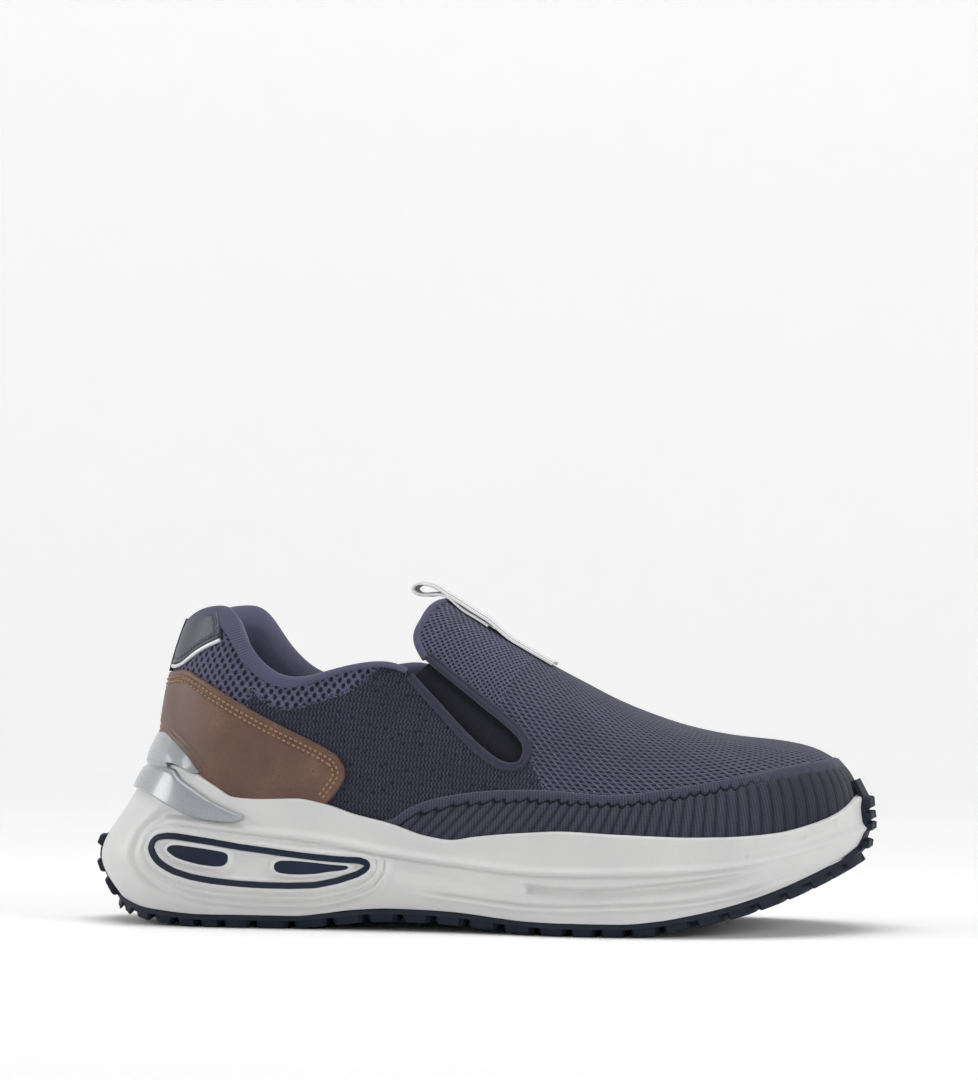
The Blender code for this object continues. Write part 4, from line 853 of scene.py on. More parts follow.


# Ribbed rand: a thicker knitted band from mid-foot round the toe, with leaning ribs under a
# smooth edge and a ragged notch between them; the gaps between the ribs and the notch carry painted shade
rand = dict(start=0.30, full=0.36, step=1.0 * mm, pitch=4.7, ribHeight=0.55 * mm, edgeWidth=3.5,
            notchDepth=1.1 * mm, rollWidth=1.3, ribMiddle=0.75, hem=0.1 * mm, least=0.08 * mm,
            under=0.02 * mm, columns=500, rows=(14, 30))
randPatches = []
for side in (-1, 1):
    randAlong = spreadShares(rand["start"], 1, rand["columns"])
    top = randEdge(randAlong)
    rows = np.concatenate([np.linspace(0, 0.6, rand["rows"][0])[:-1],
                           np.linspace(0.6, 1, rand["rows"][1])])[:, None]
    along, up = np.broadcast_arrays(randAlong[None], rows * top[None])
    cloth = clothUv(side, along, up)
    rise = cloth[..., 1]
    fromTop = cloth[-1:, :, 1] - rise  # mm below the band's top edge
    lean = 0.85 * (1 - ease(0.45, 0.95, along)) + 0.08
    phase = (cloth[..., 0] - lean * rise) / rand["pitch"]
    ribs = np.abs(np.cos(np.pi * phase))**0.45 * (1 - 0.35 * ease(0.86, 0.95, along))
    ragged = rand["edgeWidth"] + 1.3 * np.abs(np.sin(np.pi * phase)) + 0.35 * np.sin(2.3 * phase)
    under = ease(-0.2, 0.5, fromTop - ragged - 0.5)
    notch = bump(0.1, 0.55, fromTop - ragged) * (1 - 0.85 * ease(0.84, 0.93, along))
    roll = rounding(fromTop, rand["rollWidth"] + 8 * ease(0.86, 0.97, along), 2)
    band = 0.35 * bump(rand["edgeWidth"] * 0.5, 1.4, fromTop) * mm
    fold = creases(side, along, up)
    relief = under * (ribs - rand["ribMiddle"]) * rand["ribHeight"] - notch * rand["notchDepth"]
    out = fold + rand["step"] * roll + band + relief * ease(0.31, 0.40, along)
    grown = ease(rand["start"], rand["full"], along)
    out = np.maximum(out * grown + (1 - grown) * rand["hem"], fold + rand["least"])
    # painted shade: darker between the ribs and in the notch, with a slight even darkening below the edge
    # band
    shade = np.clip(under * ((1 - ribs) * 0.9 + 0.12) + 0.95 * notch, 0, 1) * ease(0.31, 0.36, along)
    below = skin(side, along, up, fold + rand["under"])
    randPatches.append((skin(side, along, up, out), below, cloth, shade))
ribbedRand = shellPiece("ribbedRand", randPatches, ribbedKnit, 60)
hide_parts("upper")
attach(ribbedRand, "root")
print("rand:", len(ribbedRand.data.polygons))


# Midsole: one moulded foam cup; its wall is the flare plus the moulded lines
sole = dict(columns=430, levels=92, cupGap=0.4 * mm, fitGap=0.3 * mm, lip=0.9 * mm, randStep=0.8 * mm,
            lineDepth=0.75, grooveDepth=2.4,
            crest=0.8, hollow=1.3, lowerRib=0.8, pinDepth=0.7, ripple=1.8, behind=2.2, panel=-1.4,
            girth=330)
# height in mm of each moulded line against the share of the length
shoulderLine = np.array([
    (0.0, 43.5), (0.03, 42.5), (0.054, 41.2), (0.077, 40.0), (0.112, 38.5), (0.169, 36.6), (0.234, 35.0),
    (0.306, 32.5), (0.379, 29.1), (0.482, 25.9), (0.584, 23.6), (0.643, 23.4), (0.727, 24.1),
    (0.827, 25.6), (0.900, 29.0), (1.0, 38.0)])
fineLine = np.array([
    (0.0, 40.0), (0.070, 38.4), (0.112, 36.9), (0.169, 35.1), (0.234, 33.2), (0.306, 30.6), (0.379, 27.4),
    (0.482, 24.2), (0.572, 22.1), (0.671, 22.0), (0.754, 22.7), (0.827, 24.4), (0.900, 27.4),
    (1.0, 36.0)])
grooveLine = np.array([
    (0.0, 18.0), (0.560, 18.3), (0.614, 17.1), (0.671, 16.8), (0.727, 18.1), (0.782, 19.7), (0.827, 21.3),
    (0.900, 25.6), (1.0, 34.0)])
lowerLine = np.array([
    (0.0, 16.0), (0.380, 16.0), (0.444, 14.7), (0.522, 12.5), (0.584, 11.2), (0.671, 11.5), (0.754, 12.7),
    (0.827, 15.3), (0.900, 20.5), (1.0, 31.0)])
windowTable = np.array([
    (0.057, 0.610, 0.675), (0.061, 0.553, 0.715), (0.066, 0.504, 0.729), (0.073, 0.462, 0.737),
    (0.084, 0.417, 0.734), (0.102, 0.377, 0.716), (0.124, 0.350, 0.695), (0.161, 0.328, 0.658),
    (0.197, 0.319, 0.634), (0.233, 0.318, 0.610), (0.271, 0.327, 0.588), (0.305, 0.366, 0.575),
    (0.335, 0.422, 0.570), (0.346, 0.458, 0.552), (0.351, 0.490, 0.523)])
rearBarTable = np.array([
    (0.076, 0.600, 0.625), (0.079, 0.581, 0.642), (0.086, 0.547, 0.646), (0.097, 0.521, 0.638),
    (0.113, 0.494, 0.624), (0.130, 0.481, 0.607), (0.139, 0.484, 0.595), (0.144, 0.506, 0.583),
    (0.146, 0.530, 0.558)])
frontBarTable = np.array([
    (0.211, 0.472, 0.510), (0.214, 0.450, 0.525), (0.220, 0.438, 0.537), (0.235, 0.430, 0.538),
    (0.250, 0.429, 0.534), (0.271, 0.436, 0.525), (0.292, 0.455, 0.514), (0.307, 0.464, 0.509),
    (0.316, 0.474, 0.507), (0.320, 0.485, 0.494)])
# pin marks near the toe: share of the length; height and radius in mm
pinTable = np.array([(0.862, 29.2, 0.8), (0.934, 35.8, 0.8), (0.970, 41.0, 1.2)])
# ripples round the window: distance from its edge, width and height in mm
rippleTable = np.array([
    (0.9, 0.7, 0.3), (2.3, 0.7, -0.3), (3.7, 0.8, 0.35), (5.1, 0.8, -0.35), (6.7, 0.9, 0.35),
    (8.6, 1.0, -0.2)])
# the wall unrolled: millimetres round the sole at the belly of the wall
wallShares = unturned(np.linspace(0, np.pi, 1201))
wallWalk = {}
for side in (-1, 1):
    belly = wallPoint(side, wallShares, 0.4, flareAt(wallShares, 0.4))
    wallWalk[side] = walkAlongPoints(belly) / mm


def unrolled(side, table, count):
    # closed outline through a table's lower and upper edge, as mm round and mm up: an even walk
    # round the rows, its corners softened by a running mean
    around = np.interp(table[:, 0], wallShares, wallWalk[side])
    low = np.stack([around, table[:, 1] * form["wallHeight"] / mm], -1)
    high = np.stack([around, table[:, 2] * form["wallHeight"] / mm], -1)
    loop = np.concatenate([low, high[::-1], low[:1]])
    walked = walkAlongPoints(loop)
    at = np.linspace(0, walked[-1], count * 4 + 1)[:-1]
    even = np.stack([np.interp(at, walked, loop[:, i]) for i in (0, 1)], -1)
    reach = max(int(0.5 / (at[1] - at[0])), 1)
    for _ in range(3):
        even = sum(np.roll(even, shift, axis=0) for shift in range(-reach, reach + 1)) / (2 * reach + 1)
    return even[::4]


def signedDistance(points, loop):
    # distance in mm to a closed outline, negative inside: nearest segment, and a count of crossings
    flat = points.reshape(-1, 2)
    following = np.roll(loop, -1, axis=0)
    nearest = np.full(len(flat), 1e9)
    inside = np.zeros(len(flat), bool)
    for a, b in zip(loop, following):
        edge = b - a
        share = np.clip(((flat - a) @ edge) / (edge @ edge), 0, 1)
        nearest = np.minimum(nearest, np.linalg.norm(flat - a - share[:, None] * edge, axis=1))
        crosses = (a[1] > flat[:, 1]) != (b[1] > flat[:, 1])
        drop = edge[1] if edge[1] != 0 else 1e-9
        inside ^= crosses & (flat[:, 0] < a[0] + (flat[:, 1] - a[1]) * edge[0] / drop)
    return np.where(inside, -nearest, nearest).reshape(points.shape[:-1])


windows = {side: [unrolled(side, table, 200) for table in (windowTable, rearBarTable, frontBarTable)]
           for side in (-1, 1)}


def wallRelief(side, along, level):
    # moulded lines of the wall in mm: a crest at the shoulder, thin grooves, a deep groove beside
    # the forefoot that is sharp above and slopes below, a hollow in the arch, and soft steps that
    # run round the window like ripples
    bottom = wallBottom(along)
    z = (bottom + (wallTop(along) - bottom) * level) / mm
    shoulder = z - curveOf(shoulderLine, 1, along)
    out = sole["crest"] * bump(0, 1.2, shoulder) - 0.6 * ease(0, 3, shoulder) * (1 - ease(0.75, 0.98, level))
    out = out * ease(0.03, 0.10, along)
    fine = z - curveOf(fineLine, 1, along)
    fineFade = ease(0.05, 0.075, along) * (1 - ease(0.84, 0.90, along))
    out = out - sole["lineDepth"] * bump(0, 0.5, fine) * fineFade
    hollow = bump(0, 3.4, shoulder + 4.8) * ease(0.355, 0.41, along) * (1 - ease(0.50, 0.575, along))
    groove = z - curveOf(grooveLine, 1, along)
    groove = np.where(groove > 0, bump(0, 1.0, groove), bump(0, 2.8, groove))
    groove = groove * ease(0.572, 0.579, along) * (1 - ease(0.80, 0.90, along))
    out = out - sole["hollow"] * hollow - sole["grooveDepth"] * groove
    lower = z - curveOf(lowerLine, 1, along)
    lowerFade = ease(0.40, 0.47, along) * (1 - ease(0.86, 0.93, along))
    out = out + lowerFade * sole["lowerRib"] * (bump(-1.6, 1.0, lower) - bump(0, 0.6, lower))
    for share, height, size in pinTable:
        around = (along - share) * sole["girth"]
        out = out - sole["pinDepth"] * np.exp(-(around**2 + (z - height)**2) / size**2)
    place = np.stack(np.broadcast_arrays(np.interp(along, wallShares, wallWalk[side]), z), -1)
    edge, rear, front = [signedDistance(place, loop) for loop in windows[side]]
    ripples = sum(high * bump(distance, width, edge) for distance, width, high in rippleTable)
    behind = bump(6.8, 2.4, edge) * (1 - ease(0.055, 0.10, along)) * ease(0.004, 0.022, along)
    near = (1 - ease(-4.0, -1.0, shoulder)) * ease(0.02, 0.05, along) * ease(4.5, 9.0, z)
    out = out + sole["ripple"] * ripples * near - sole["behind"] * behind
    # inside the ring: a sunken panel with a light rim round it and raised rims round the bars
    bar = np.minimum(rear, front)
    panel = sole["panel"] + 1.45 * (1 - ease(0.6, 1.9, bar)) + 1.0 * (1 - ease(0.6, 1.7, -edge - 2.3))
    panel = np.where(bar < -0.8, sole["panel"], np.minimum(panel, 0.05))
    out = np.where(edge < -1.0, panel, np.where(edge < 0, np.minimum(out, 0.0), out))
    return out * mm


def wallProfile(side, along, level):
    lip = sole["lip"]
    height = wallTop(along) - wallBottom(along)
    near = np.clip((height * (level - 1) + lip) / lip, 0, 1)
    return flareAt(along, level) + wallRelief(side, along, level) - lip * (1 - np.sqrt(1 - near**2)) * 0.8


soleShares = spreadShares(0, 1, sole["columns"])
levels = np.concatenate([np.linspace(0, 0.97, sole["levels"]), [0.98, 0.988, 0.994, 0.998, 1.0]])[:, None]
soleGrids, deck, ground = [], {}, {}
for side in (-1, 1):
    along, level = np.broadcast_arrays(soleShares[None], levels)
    wall = wallPoint(side, along, level, wallProfile(side, along, level))
    rimUp = upAt(side, soleShares, wallTop(soleShares))
    climb = np.linspace(1, 0, 5)[:, None] * rimUp
    step = sole["randStep"] * np.clip((soleShares - 0.28) / 0.06, 0, 1) + sole["cupGap"]
    cup = skin(side, np.broadcast_to(soleShares, climb.shape), climb, np.broadcast_to(step, climb.shape))
    cup[0, :, 2] = wall[-1, :, 2]
    cup[-1, :, 2] = footbed(soleShares) - sole["fitGap"]
    soleGrids.append(np.concatenate([wall, cup]))
    deck[side], ground[side] = cup[-1], wall[0]
shares = np.array([0, 0.5, 1])[None, :, None]
soleGrids.append(deck[-1][:, None] * (1 - shares) + deck[1][:, None] * shares)
soleGrids.append(ground[-1][:, None] * (1 - shares) + ground[1][:, None] * shares)
midsole = solidPiece("foamMidsole", soleGrids, foam, 40)
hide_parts("midsole")
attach(midsole, "root")
print("midsole:", len(midsole.data.polygons))


# Window ring and its two bars: rubber inlays with rounded edges, let into the foam
inlay = dict(ringWidth=2.3, proud=0.32, sunk=-1.4, barProud=0.3)


def onWall(side, loop, height):  # points of an unrolled outline, height mm out of the plain wall
    along = np.interp(loop[..., 0], wallWalk[side], wallShares)
    level = wallLevel(along, loop[..., 1] * mm)
    return wallPoint(side, along, level, flareAt(along, level) + np.asarray(height) * mm)


def insetLoop(loop, distance):  # outline moved inwards along its own normals
    tangent = np.roll(loop, -1, axis=0) - np.roll(loop, 1, axis=0)
    tangent = unit(tangent)
    inward = np.stack([-tangent[:, 1], tangent[:, 0]], -1)
    return loop + inward * distance


def closedGrid(rows):  # rows of closed loops with the first column repeated
    grid = np.stack(rows)
    return np.concatenate([grid, grid[:, :1]], axis=1)


for side, name in ((-1, "lateral"), (1, "medial")):
    window, rear, front = windows[side]
    width = inlay["ringWidth"]
    profile = [(0.0, inlay["sunk"]), (-0.1, 0.0), (0.12, 0.28), (0.5, inlay["proud"]),
               (width - 0.5, inlay["proud"]), (width - 0.12, 0.28), (width + 0.05, 0.0),
               (width, inlay["sunk"]), (0.0, inlay["sunk"])]
    grid = closedGrid([onWall(side, insetLoop(window, d), h) for d, h in profile])
    ring = solidPiece("windowRing" + name.title(), [grid], inlayRubber, 40)
    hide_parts("window_ring_" + name)
    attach(ring, "root")
    for bar, loop in (("rear", rear), ("front", front)):
        proud = inlay["barProud"]
        steps = [(0.0, inlay["sunk"]), (-0.05, -0.25), (0.15, proud - 0.1), (0.5, proud), (0.9, proud - 0.08)]
        grid = closedGrid([onWall(side, insetLoop(loop, d), h) for d, h in steps])
        half = len(loop) // 2
        caps = [ruled(row[:half + 1], row[half:][::-1], 3) for row in (grid[0], grid[-1])]
        body = solidPiece("windowBar" + bar.title() + name.title(), [grid] + caps, inlayRubber, 40)
        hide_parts("window_bar_" + bar + "_" + name)
        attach(body, "root")
print("window inlays made")


# Outsole: a rubber sheet under the foam that turns up at the heel and over the toe, with lugs
tread = dict(gap=0.3 * mm, sheet=1.7 * mm, overhang=0.2 * mm, wrapOut=0.7 * mm, lug=3.0 * mm,
             wrapLug=2.2 * mm, taper=1.9 * mm, foot=1.1, chamfer=0.5 * mm, stations=30, across=5,
             heelColumns=1, toeColumns=1, smallest=3.6 * mm, toeHeight=54.5 * mm)
heelLevels = np.array([0.14, 0.28, 0.34, 0.44])
toeLevels = np.array([0.14, 0.28, 0.48, 0.69, 1.0, 1.1])
ribSteps = np.array([
    (0.00, 0.0), (0.14, 0.5), (0.28, 0.8), (0.34, -0.2), (0.44, 0.0), (0.48, -1.0), (0.56, -1.0),
    (0.60, 0.0), (0.69, 0.2), (0.74, -0.5), (1.00, 0.0)])
ribFade = np.array([(0.40, 0.0), (0.52, 1.0), (0.88, 1.0), (0.97, 0.0)])


def treadShares():  # the same stations as the solid's, one lug right over the origin
    share, walked = roundWalk(2001)
    even = np.interp(np.linspace(0, walked[-1], tread["stations"] + 1), walked, share)
    origin = form["heelSetback"] / form["length"]
    nearest = np.searchsorted(even, origin)
    shift = origin - (even[nearest - 1] + even[nearest]) / 2
    return even + shift * np.sin(np.pi * even) / np.sin(np.pi * origin)


def steppedWall(side, along, level, out):  # the solid's own wall, ribs and all
    ribs = np.interp(level, ribSteps[:, 0], ribSteps[:, 1]) * np.interp(along, ribFade[:, 0], ribFade[:, 1])
    return wallPoint(side, along, level, flareAt(along, level) + ribs * soleForm["ribDepth"] + out)


stationShares = treadShares()
noRise = np.zeros(len(stationShares))
edges = {side: steppedWall(side, stationShares, noRise, tread["overhang"]) for side in (-1, 1)}
profile = (edges[-1] + edges[1])[:, [0, 2]] / 2
slope = np.gradient(profile, axis=0)
slope = unit(slope)
down = np.stack([slope[:, 1], np.zeros(len(profile)), -slope[:, 0]], -1)
onFloor = np.abs(edges[-1][:, 2] - soleForm["treadDepth"]) < 0.01 * mm
down = np.where(onFloor[:, None], np.array([0, 0, -1.0]), down)


topEdge = {side: edges[side] + down * tread["gap"] for side in edges}
lowEdge = {side: edges[side] + down * (tread["gap"] + tread["sheet"]) for side in edges}
treadGrids, lugCells = [], []
shares = np.linspace(0, 1, tread["across"] + 1)[None, :, None]
under = lowEdge[-1][:, None] * (1 - shares) + lowEdge[1][:, None] * shares
over = topEdge[-1][:, None] * (1 - shares) + topEdge[1][:, None] * shares
treadGrids += [over, under]
lugCells.append((under, tread["lug"]))
wraps = ((slice(0, tread["heelColumns"] + 1), heelLevels), (slice(-tread["toeColumns"] - 1, None), toeLevels))
for side in (-1, 1):
    part = slice(tread["heelColumns"], len(stationShares) - tread["toeColumns"])
    treadGrids.append(np.stack([topEdge[side][part], lowEdge[side][part]]))
    for part, wrapLevels in wraps:
        along = stationShares[None, part]
        level = np.minimum(wrapLevels, 1)[:, None]
        inside = steppedWall(side, along, level, tread["wrapOut"] - tread["sheet"])
        outside = steppedWall(side, along, level, tread["wrapOut"])
        if wrapLevels[-1] > 1:
            hugUp = upAt(side, stationShares[part], tread["toeHeight"])
            hug = rand["step"] + 0.5 * mm
            inside[-1] = skin(side, stationShares[part], hugUp, hug)
            outside[-1] = skin(side, stationShares[part], hugUp, hug + tread["sheet"])
        inside = np.concatenate([topEdge[side][None, part], inside])
        outside = np.concatenate([lowEdge[side][None, part], outside])
        lugCells.append((outside[:-1] if wrapLevels[-1] > 1 else outside, tread["wrapLug"]))
        corner = -1 if part.start == 0 else 0
        treadGrids += [inside, outside, np.stack([inside[-1], outside[-1]]),
                       np.stack([inside[:, corner], outside[:, corner]])]
outsole = solidPiece("rubberOutsole", treadGrids, treadRubber, 35)
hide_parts("outsole")
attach(outsole, "root")

# each lug is a block with cut corners and a bevelled top, raised over its cell of the sheet
def lugSteps(height):  # inset in mm and rise of each ring of a lug
    top = tread["taper"] / mm
    return ((tread["foot"], -0.4 * mm), (tread["foot"], 0.0), ((tread["foot"] + top) / 2, 0.45 * height),
            (top, height - tread["chamfer"]), (top + 0.6, height))


lugPoints = []
for cells, height in lugCells:
    a, b, c, d = cells[:-1, :-1], cells[1:, :-1], cells[1:, 1:], cells[:-1, 1:]
    corner = np.stack([a, b, c, d], -2).reshape(-1, 4, 3)
    sides = np.linalg.norm(corner - np.roll(corner, -1, axis=1), axis=2)
    corner = corner[sides.min(1) > tread["smallest"]]
    sides = sides[sides.min(1) > tread["smallest"]]
    fine = np.clip(sides.min(1) / (8 * mm), 0.45, 1)[:, None, None]
    centre = corner.mean(1, keepdims=True)
    normal = np.cross(corner[:, 2] - corner[:, 0], corner[:, 3] - corner[:, 1])
    normal = unit(normal)
    away = centre[:, 0] - np.array([0.09, 0, 0.03])
    normal = np.where(((normal * away).sum(1) < 0)[:, None], -normal, normal)
    if np.all(normal[:, 2] < 0):
        normal = np.where((np.abs(corner[..., 2] - corner[:, :1, 2]).max(1) < 0.05 * mm)[:, None],
                          np.array([0, 0, -1.0]), normal)
    following = np.roll(corner, -1, axis=1)
    cut = np.stack([corner * 0.86 + following * 0.14, corner * 0.14 + following * 0.86], 2).reshape(-1, 8, 3)
    reach = np.linalg.norm(cut - centre, axis=2, keepdims=True)
    inward = (centre - cut) / reach
    rings = []
    for inset, rise in lugSteps(height):
        rings.append(cut + inward * inset * fine * mm + normal[:, None] * rise)
    lugPoints.append(np.stack(rings, 1))
lugPoints = np.concatenate(lugPoints)
count = len(lugPoints)
quads = ringQuads(count, 5, 8, ([0, 1, 2, 3], [0, 3, 4, 7], [4, 5, 6, 7]))
flat = lugPoints.reshape(-1, 3)
lugs = makeMesh("outsoleLugs", flat, quads, quads, treadRubber, flat[:, [0, 1]] / mm, None, 30)
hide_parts("outsole")
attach(lugs, "root")
print("outsole lugs:", count)


# Sock liner on the footbed
liner = dict(thickness=4 * mm, inset=2.7 * mm, columns=160, across=24)
linerShares = spreadShares(0, 1, liner["columns"])
linerGrids, linerRings = [], {}
for side in (-1, 1):
    base = skin(side, linerShares, np.zeros(len(linerShares)), -liner["inset"])
    rings = []
    for drop, inset in ((0.0, 0.0), (0.75, 0.0), (0.93, 0.05), (1.0, 0.35)):
        ring = base.copy()
        centre = np.stack([base[:, 0], middle(linerShares), base[:, 2]], -1)
        pull = centre - base
        pull[:, 2] = 0
        reach = np.linalg.norm(pull, axis=1, keepdims=True)
        ring += pull / np.maximum(reach, 1e-6) * np.minimum(inset * 2 * mm, reach)
        ring[:, 2] = footbed(linerShares) + liner["thickness"] * drop
        rings.append(ring)
    linerRings[side] = (rings[0], rings[-1])
    grid = np.stack(rings)
    linerGrids.append((grid, grid[..., :2] / mm))
for level in (0, 1):
    sheet = ruled(linerRings[-1][level], linerRings[1][level], liner["across"])
    linerGrids.append((sheet, sheet[..., :2] / mm))
insole = solidPiece("sockLiner", linerGrids, soleCloth, 45)
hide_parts("insole")
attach(insole, "root")


# Padded collar: its cover is lapped over the knit outside, rolls over the edge and swells inside
collar = dict(front=0.366, liningFront=0.335, drop=0.27, padding=9 * mm, edge=3 * mm, wall=2.2 * mm,
              gap=0.5 * mm, columns=150, lapHeight=1.0)
lapTable = np.array([  # share of the length; width of the outer lap in mm
    (0.00, 5.0), (0.06, 6.5), (0.09, 7.2), (0.13, 6.6), (0.17, 4.6), (0.21, 3.2), (0.30, 1.7), (0.37, 1.3)])
paddingTable = np.array([
    (0.00, 0.40), (0.10, 0.85), (0.28, 1.00), (0.55, 0.72), (0.80, 0.38), (1.00, 0.20)])


def upDown(side, along, start, distance):
    # share of the way up reached from start by going a distance in mm down the surface
    found = np.empty(np.broadcast(along, start, distance).shape)
    along, start, distance = [np.broadcast_to(v, found.shape) for v in (along, start, distance)]
    rowsAt = np.interp(along[0], gridAlong, np.arange(len(gridAlong)))
    for j, row in enumerate(rowsAt):
        i = min(int(row), len(gridAlong) - 2)
        walk = (walkUp[side][i] * (1 - row + i) + walkUp[side][i + 1] * (row - i)) / mm
        place = np.interp(start[:, j], gridUp, walk) - distance[:, j]
        found[:, j] = np.interp(place, walk, gridUp)
    return found


collarGrids, collarEnds = [], []
collarShares = np.concatenate([unturned(np.linspace(0, turned(collar["front"]), collar["columns"]))[:-1],
                               [collar["front"]]])
for side in (-1, 1):
    along = collarShares[None]
    lap = curveOf(lapTable, 1, along)
    thick = np.interp(along, [0.10, collar["liningFront"]], [collar["padding"], collar["edge"]]) / mm
    thick = thick * (1 - 0.45 * ease(collar["liningFront"], collar["front"], along))
    top = topline(side, collarShares)[None]
    depth = (clothUv(side, along, top)[..., 1] - clothUv(side, along, top - collar["drop"])[..., 1])
    wall = (collar["wall"] + collar["gap"]) / mm
    proud = collar["lapHeight"]
    # each row of the lap and the lining: height over the cloth and drop below the topline, in mm
    rows = [(0.12, lap), (0.55 * proud, lap - 0.15), (0.92 * proud, lap - 0.7), (proud, lap * 0.6 + 0.2),
            (proud, lap * 0.3), (0.9 * proud, 0.1 * lap), (0.55 * proud, -0.55 + 0 * lap),
            (-0.15, -1.05 + 0 * lap), (-1.1, -1.3 + 0 * lap), (-2.1, -1.15 + 0 * lap)]
    shares = np.concatenate([np.linspace(0, 0.28, 9), np.linspace(0.33, 1, 11)])
    for share in shares:
        swell = steadyOf(paddingTable, 1, share)
        rows.append((-wall - swell * thick, share * depth + 0 * lap))
    rows += [(-wall, depth), (-wall, depth * 0.5), (-wall + 0.2, 0.6 + 0 * lap),
             (-wall + 0.3, -0.15 + 0 * lap), (0.12, -0.15 + 0 * lap), (0.12, lap)]
    offset = np.concatenate([np.broadcast_to(row[0], lap.shape) for row in rows]) * mm
    distance = np.concatenate([np.broadcast_to(row[1], lap.shape) for row in rows])
    up = upDown(side, along, top, distance)
    alongs = np.broadcast_to(along, up.shape)
    grid = skin(side, alongs, up, offset + creases(side, alongs, up) * (offset > -1.5 * mm))
    walked = np.cumsum(np.linalg.norm(np.diff(grid, axis=0, prepend=grid[:1]), axis=2), axis=0) / mm
    collarUv = np.stack([clothUv(side, alongs, up)[..., 0], walked], -1)
    collarGrids.append((grid, collarUv))
    end = grid[:-1, -1]
    half = len(end) // 2
    collarGrids.append(ruled(end[:half], end[::-1][:half], 2))
    if len(end) % 2:
        seam = np.stack([end[half - 1], end[half], end[half + 1], end[half + 1]])
        collarGrids.append(np.stack([seam[:2], seam[[3, 2]]]))
lining = solidPiece("paddedCollar", collarGrids, liningKnit, 50)
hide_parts("collar_lining")
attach(lining, "root")
print("collar:", len(lining.data.polygons))


# A closed profile carried along a path on the last: (across, out) in mm from the path
def carried(side, curve, profile):
    place = skin(side, curve[:, 0], curve[:, 1], 0.0)
    rows = []
    for a, n in profile:
        moved = beside(side, curve, a * mm) if a else curve
        rows.append(skin(side, moved[:, 0], moved[:, 1], n * mm))
    walked = walkAlongPoints(place) / mm
    girth = walkAlongPoints(np.array(profile))
    rows.append(rows[0])
    girth = np.append(girth, girth[-1] + 1)
    grid = np.stack(rows)
    uv = np.stack(np.broadcast_arrays(walked[None], girth[:, None]), -1)
    grids = [(grid, uv)]
    count = len(profile)
    half = count // 2
    for column in (0, -1):
        loop = grid[:count, column]
        grids.append(np.stack([loop[:half], loop[::-1][:half]]))
        if count % 2:
            grids.append(loop[[[half - 1, half], [half + 1, half]]])
    return grids


def pathFrame(side, curve, lift, seam):
    # points, normals and cross directions along a curve; at its seam, which lies in the shoe's
    # middle plane, the tangent points straight across
    place = skin(side, curve[:, 0], curve[:, 1], lift)
    tangent = np.gradient(place, axis=0)
    tangent[seam] = tangent[seam] * np.array([0, 1, 0])
    normal = lastNormal(side, curve[:, 0], curve[:, 1])
    normal[seam] = normal[seam] * np.array([1, 0, 1])
    normal = unit(normal)
    return place, normal, np.cross(normal, unit(tangent))


# Elastic panels behind the slots, with their folded tape
slot = dict(wall=2.2 * mm, margin=3.0 * mm, gap=0.3 * mm, thickness=1.0 * mm, bulge=0.7 * mm, across=26)
tapeProfile = [(0.02, -2.35), (-0.4, -2.2), (-0.55, -1.2), (-0.5, -0.1), (-0.15, 0.6), (0.35, 0.92),
               (0.85, 0.85), (1.3, 0.5), (1.5, 0.45), (1.75, 0.6), (2.2, 0.8), (2.65, 0.62), (2.9, 0.2),
               (2.85, 0.03), (1.5, 0.03), (0.1, 0.03)]
for side, name in ((-1, "lateral"), (1, "medial")):
    path = trace(slotTable, np.linspace(0.015, 0.985, 141))
    ring = beside(side, path, slot["margin"])
    count = len(ring) // 2
    share = np.linspace(0, 1, slot["across"])[:, None]
    sheet = ruled(ring[:count + 1], ring[::-1][:count + 1], slot["across"])
    along, up = sheet[..., 0], sheet[..., 1]
    swell = slot["bulge"] * np.sin(np.pi * share)**2 * np.sin(np.pi * np.linspace(0, 1, count + 1))**0.5
    inside = -(slot["wall"] + slot["gap"]) + swell
    walked = np.stack(np.broadcast_arrays(np.linspace(0, 60, count + 1)[None], share * 22), -1)
    patch = (skin(side, along, up, inside), skin(side, along, up, inside - slot["thickness"]), walked, 0.0)
    elastic = shellPiece("elasticGore" + name.title(), [patch], elasticWeb)
    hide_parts("gore_" + name)
    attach(elastic, "root")
    fine = trace(slotTable, np.linspace(0.004, 0.996, 181))
    tape = solidPiece("slotTape" + name.title(), carried(side, fine, tapeProfile), tapeWeave, 60)
    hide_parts("gore_binding_" + name)
    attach(tape, "root")
print("slots made")


# Rolled edge of the tongue, from slot to slot over the instep
roll = dict(radius=1.75, sunk=-1.0)
around = np.linspace(0, 2 * np.pi, 13)[:12]
rollProfile = [(np.cos(a) * roll["radius"] * 0.9, roll["sunk"] + np.sin(a) * roll["radius"]) for a in around]
rollGrids = []
for side in (-1, 1):
    curve = trace(tongueTable, np.linspace(0, 1, 61))
    place, normal, across = pathFrame(side, curve, 0.0, -1)
    across = across * side
    grid = np.stack([place + across * (a * mm) + normal * (n * mm) for a, n in rollProfile + rollProfile[:1]])
    walked = walkAlongPoints(place) / mm
    girth = np.linspace(0, 2 * np.pi * roll["radius"], 13)
    rollGrids.append((grid, np.stack(np.broadcast_arrays(walked[None], girth[:, None]), -1)))
    loop = grid[:12, 0]
    rollGrids.append(np.stack([loop[:6], loop[::-1][:6]]))
tongueRoll = solidPiece("tongueRoll", rollGrids, rollKnit, 60)
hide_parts("upper")
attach(tongueRoll, "root")


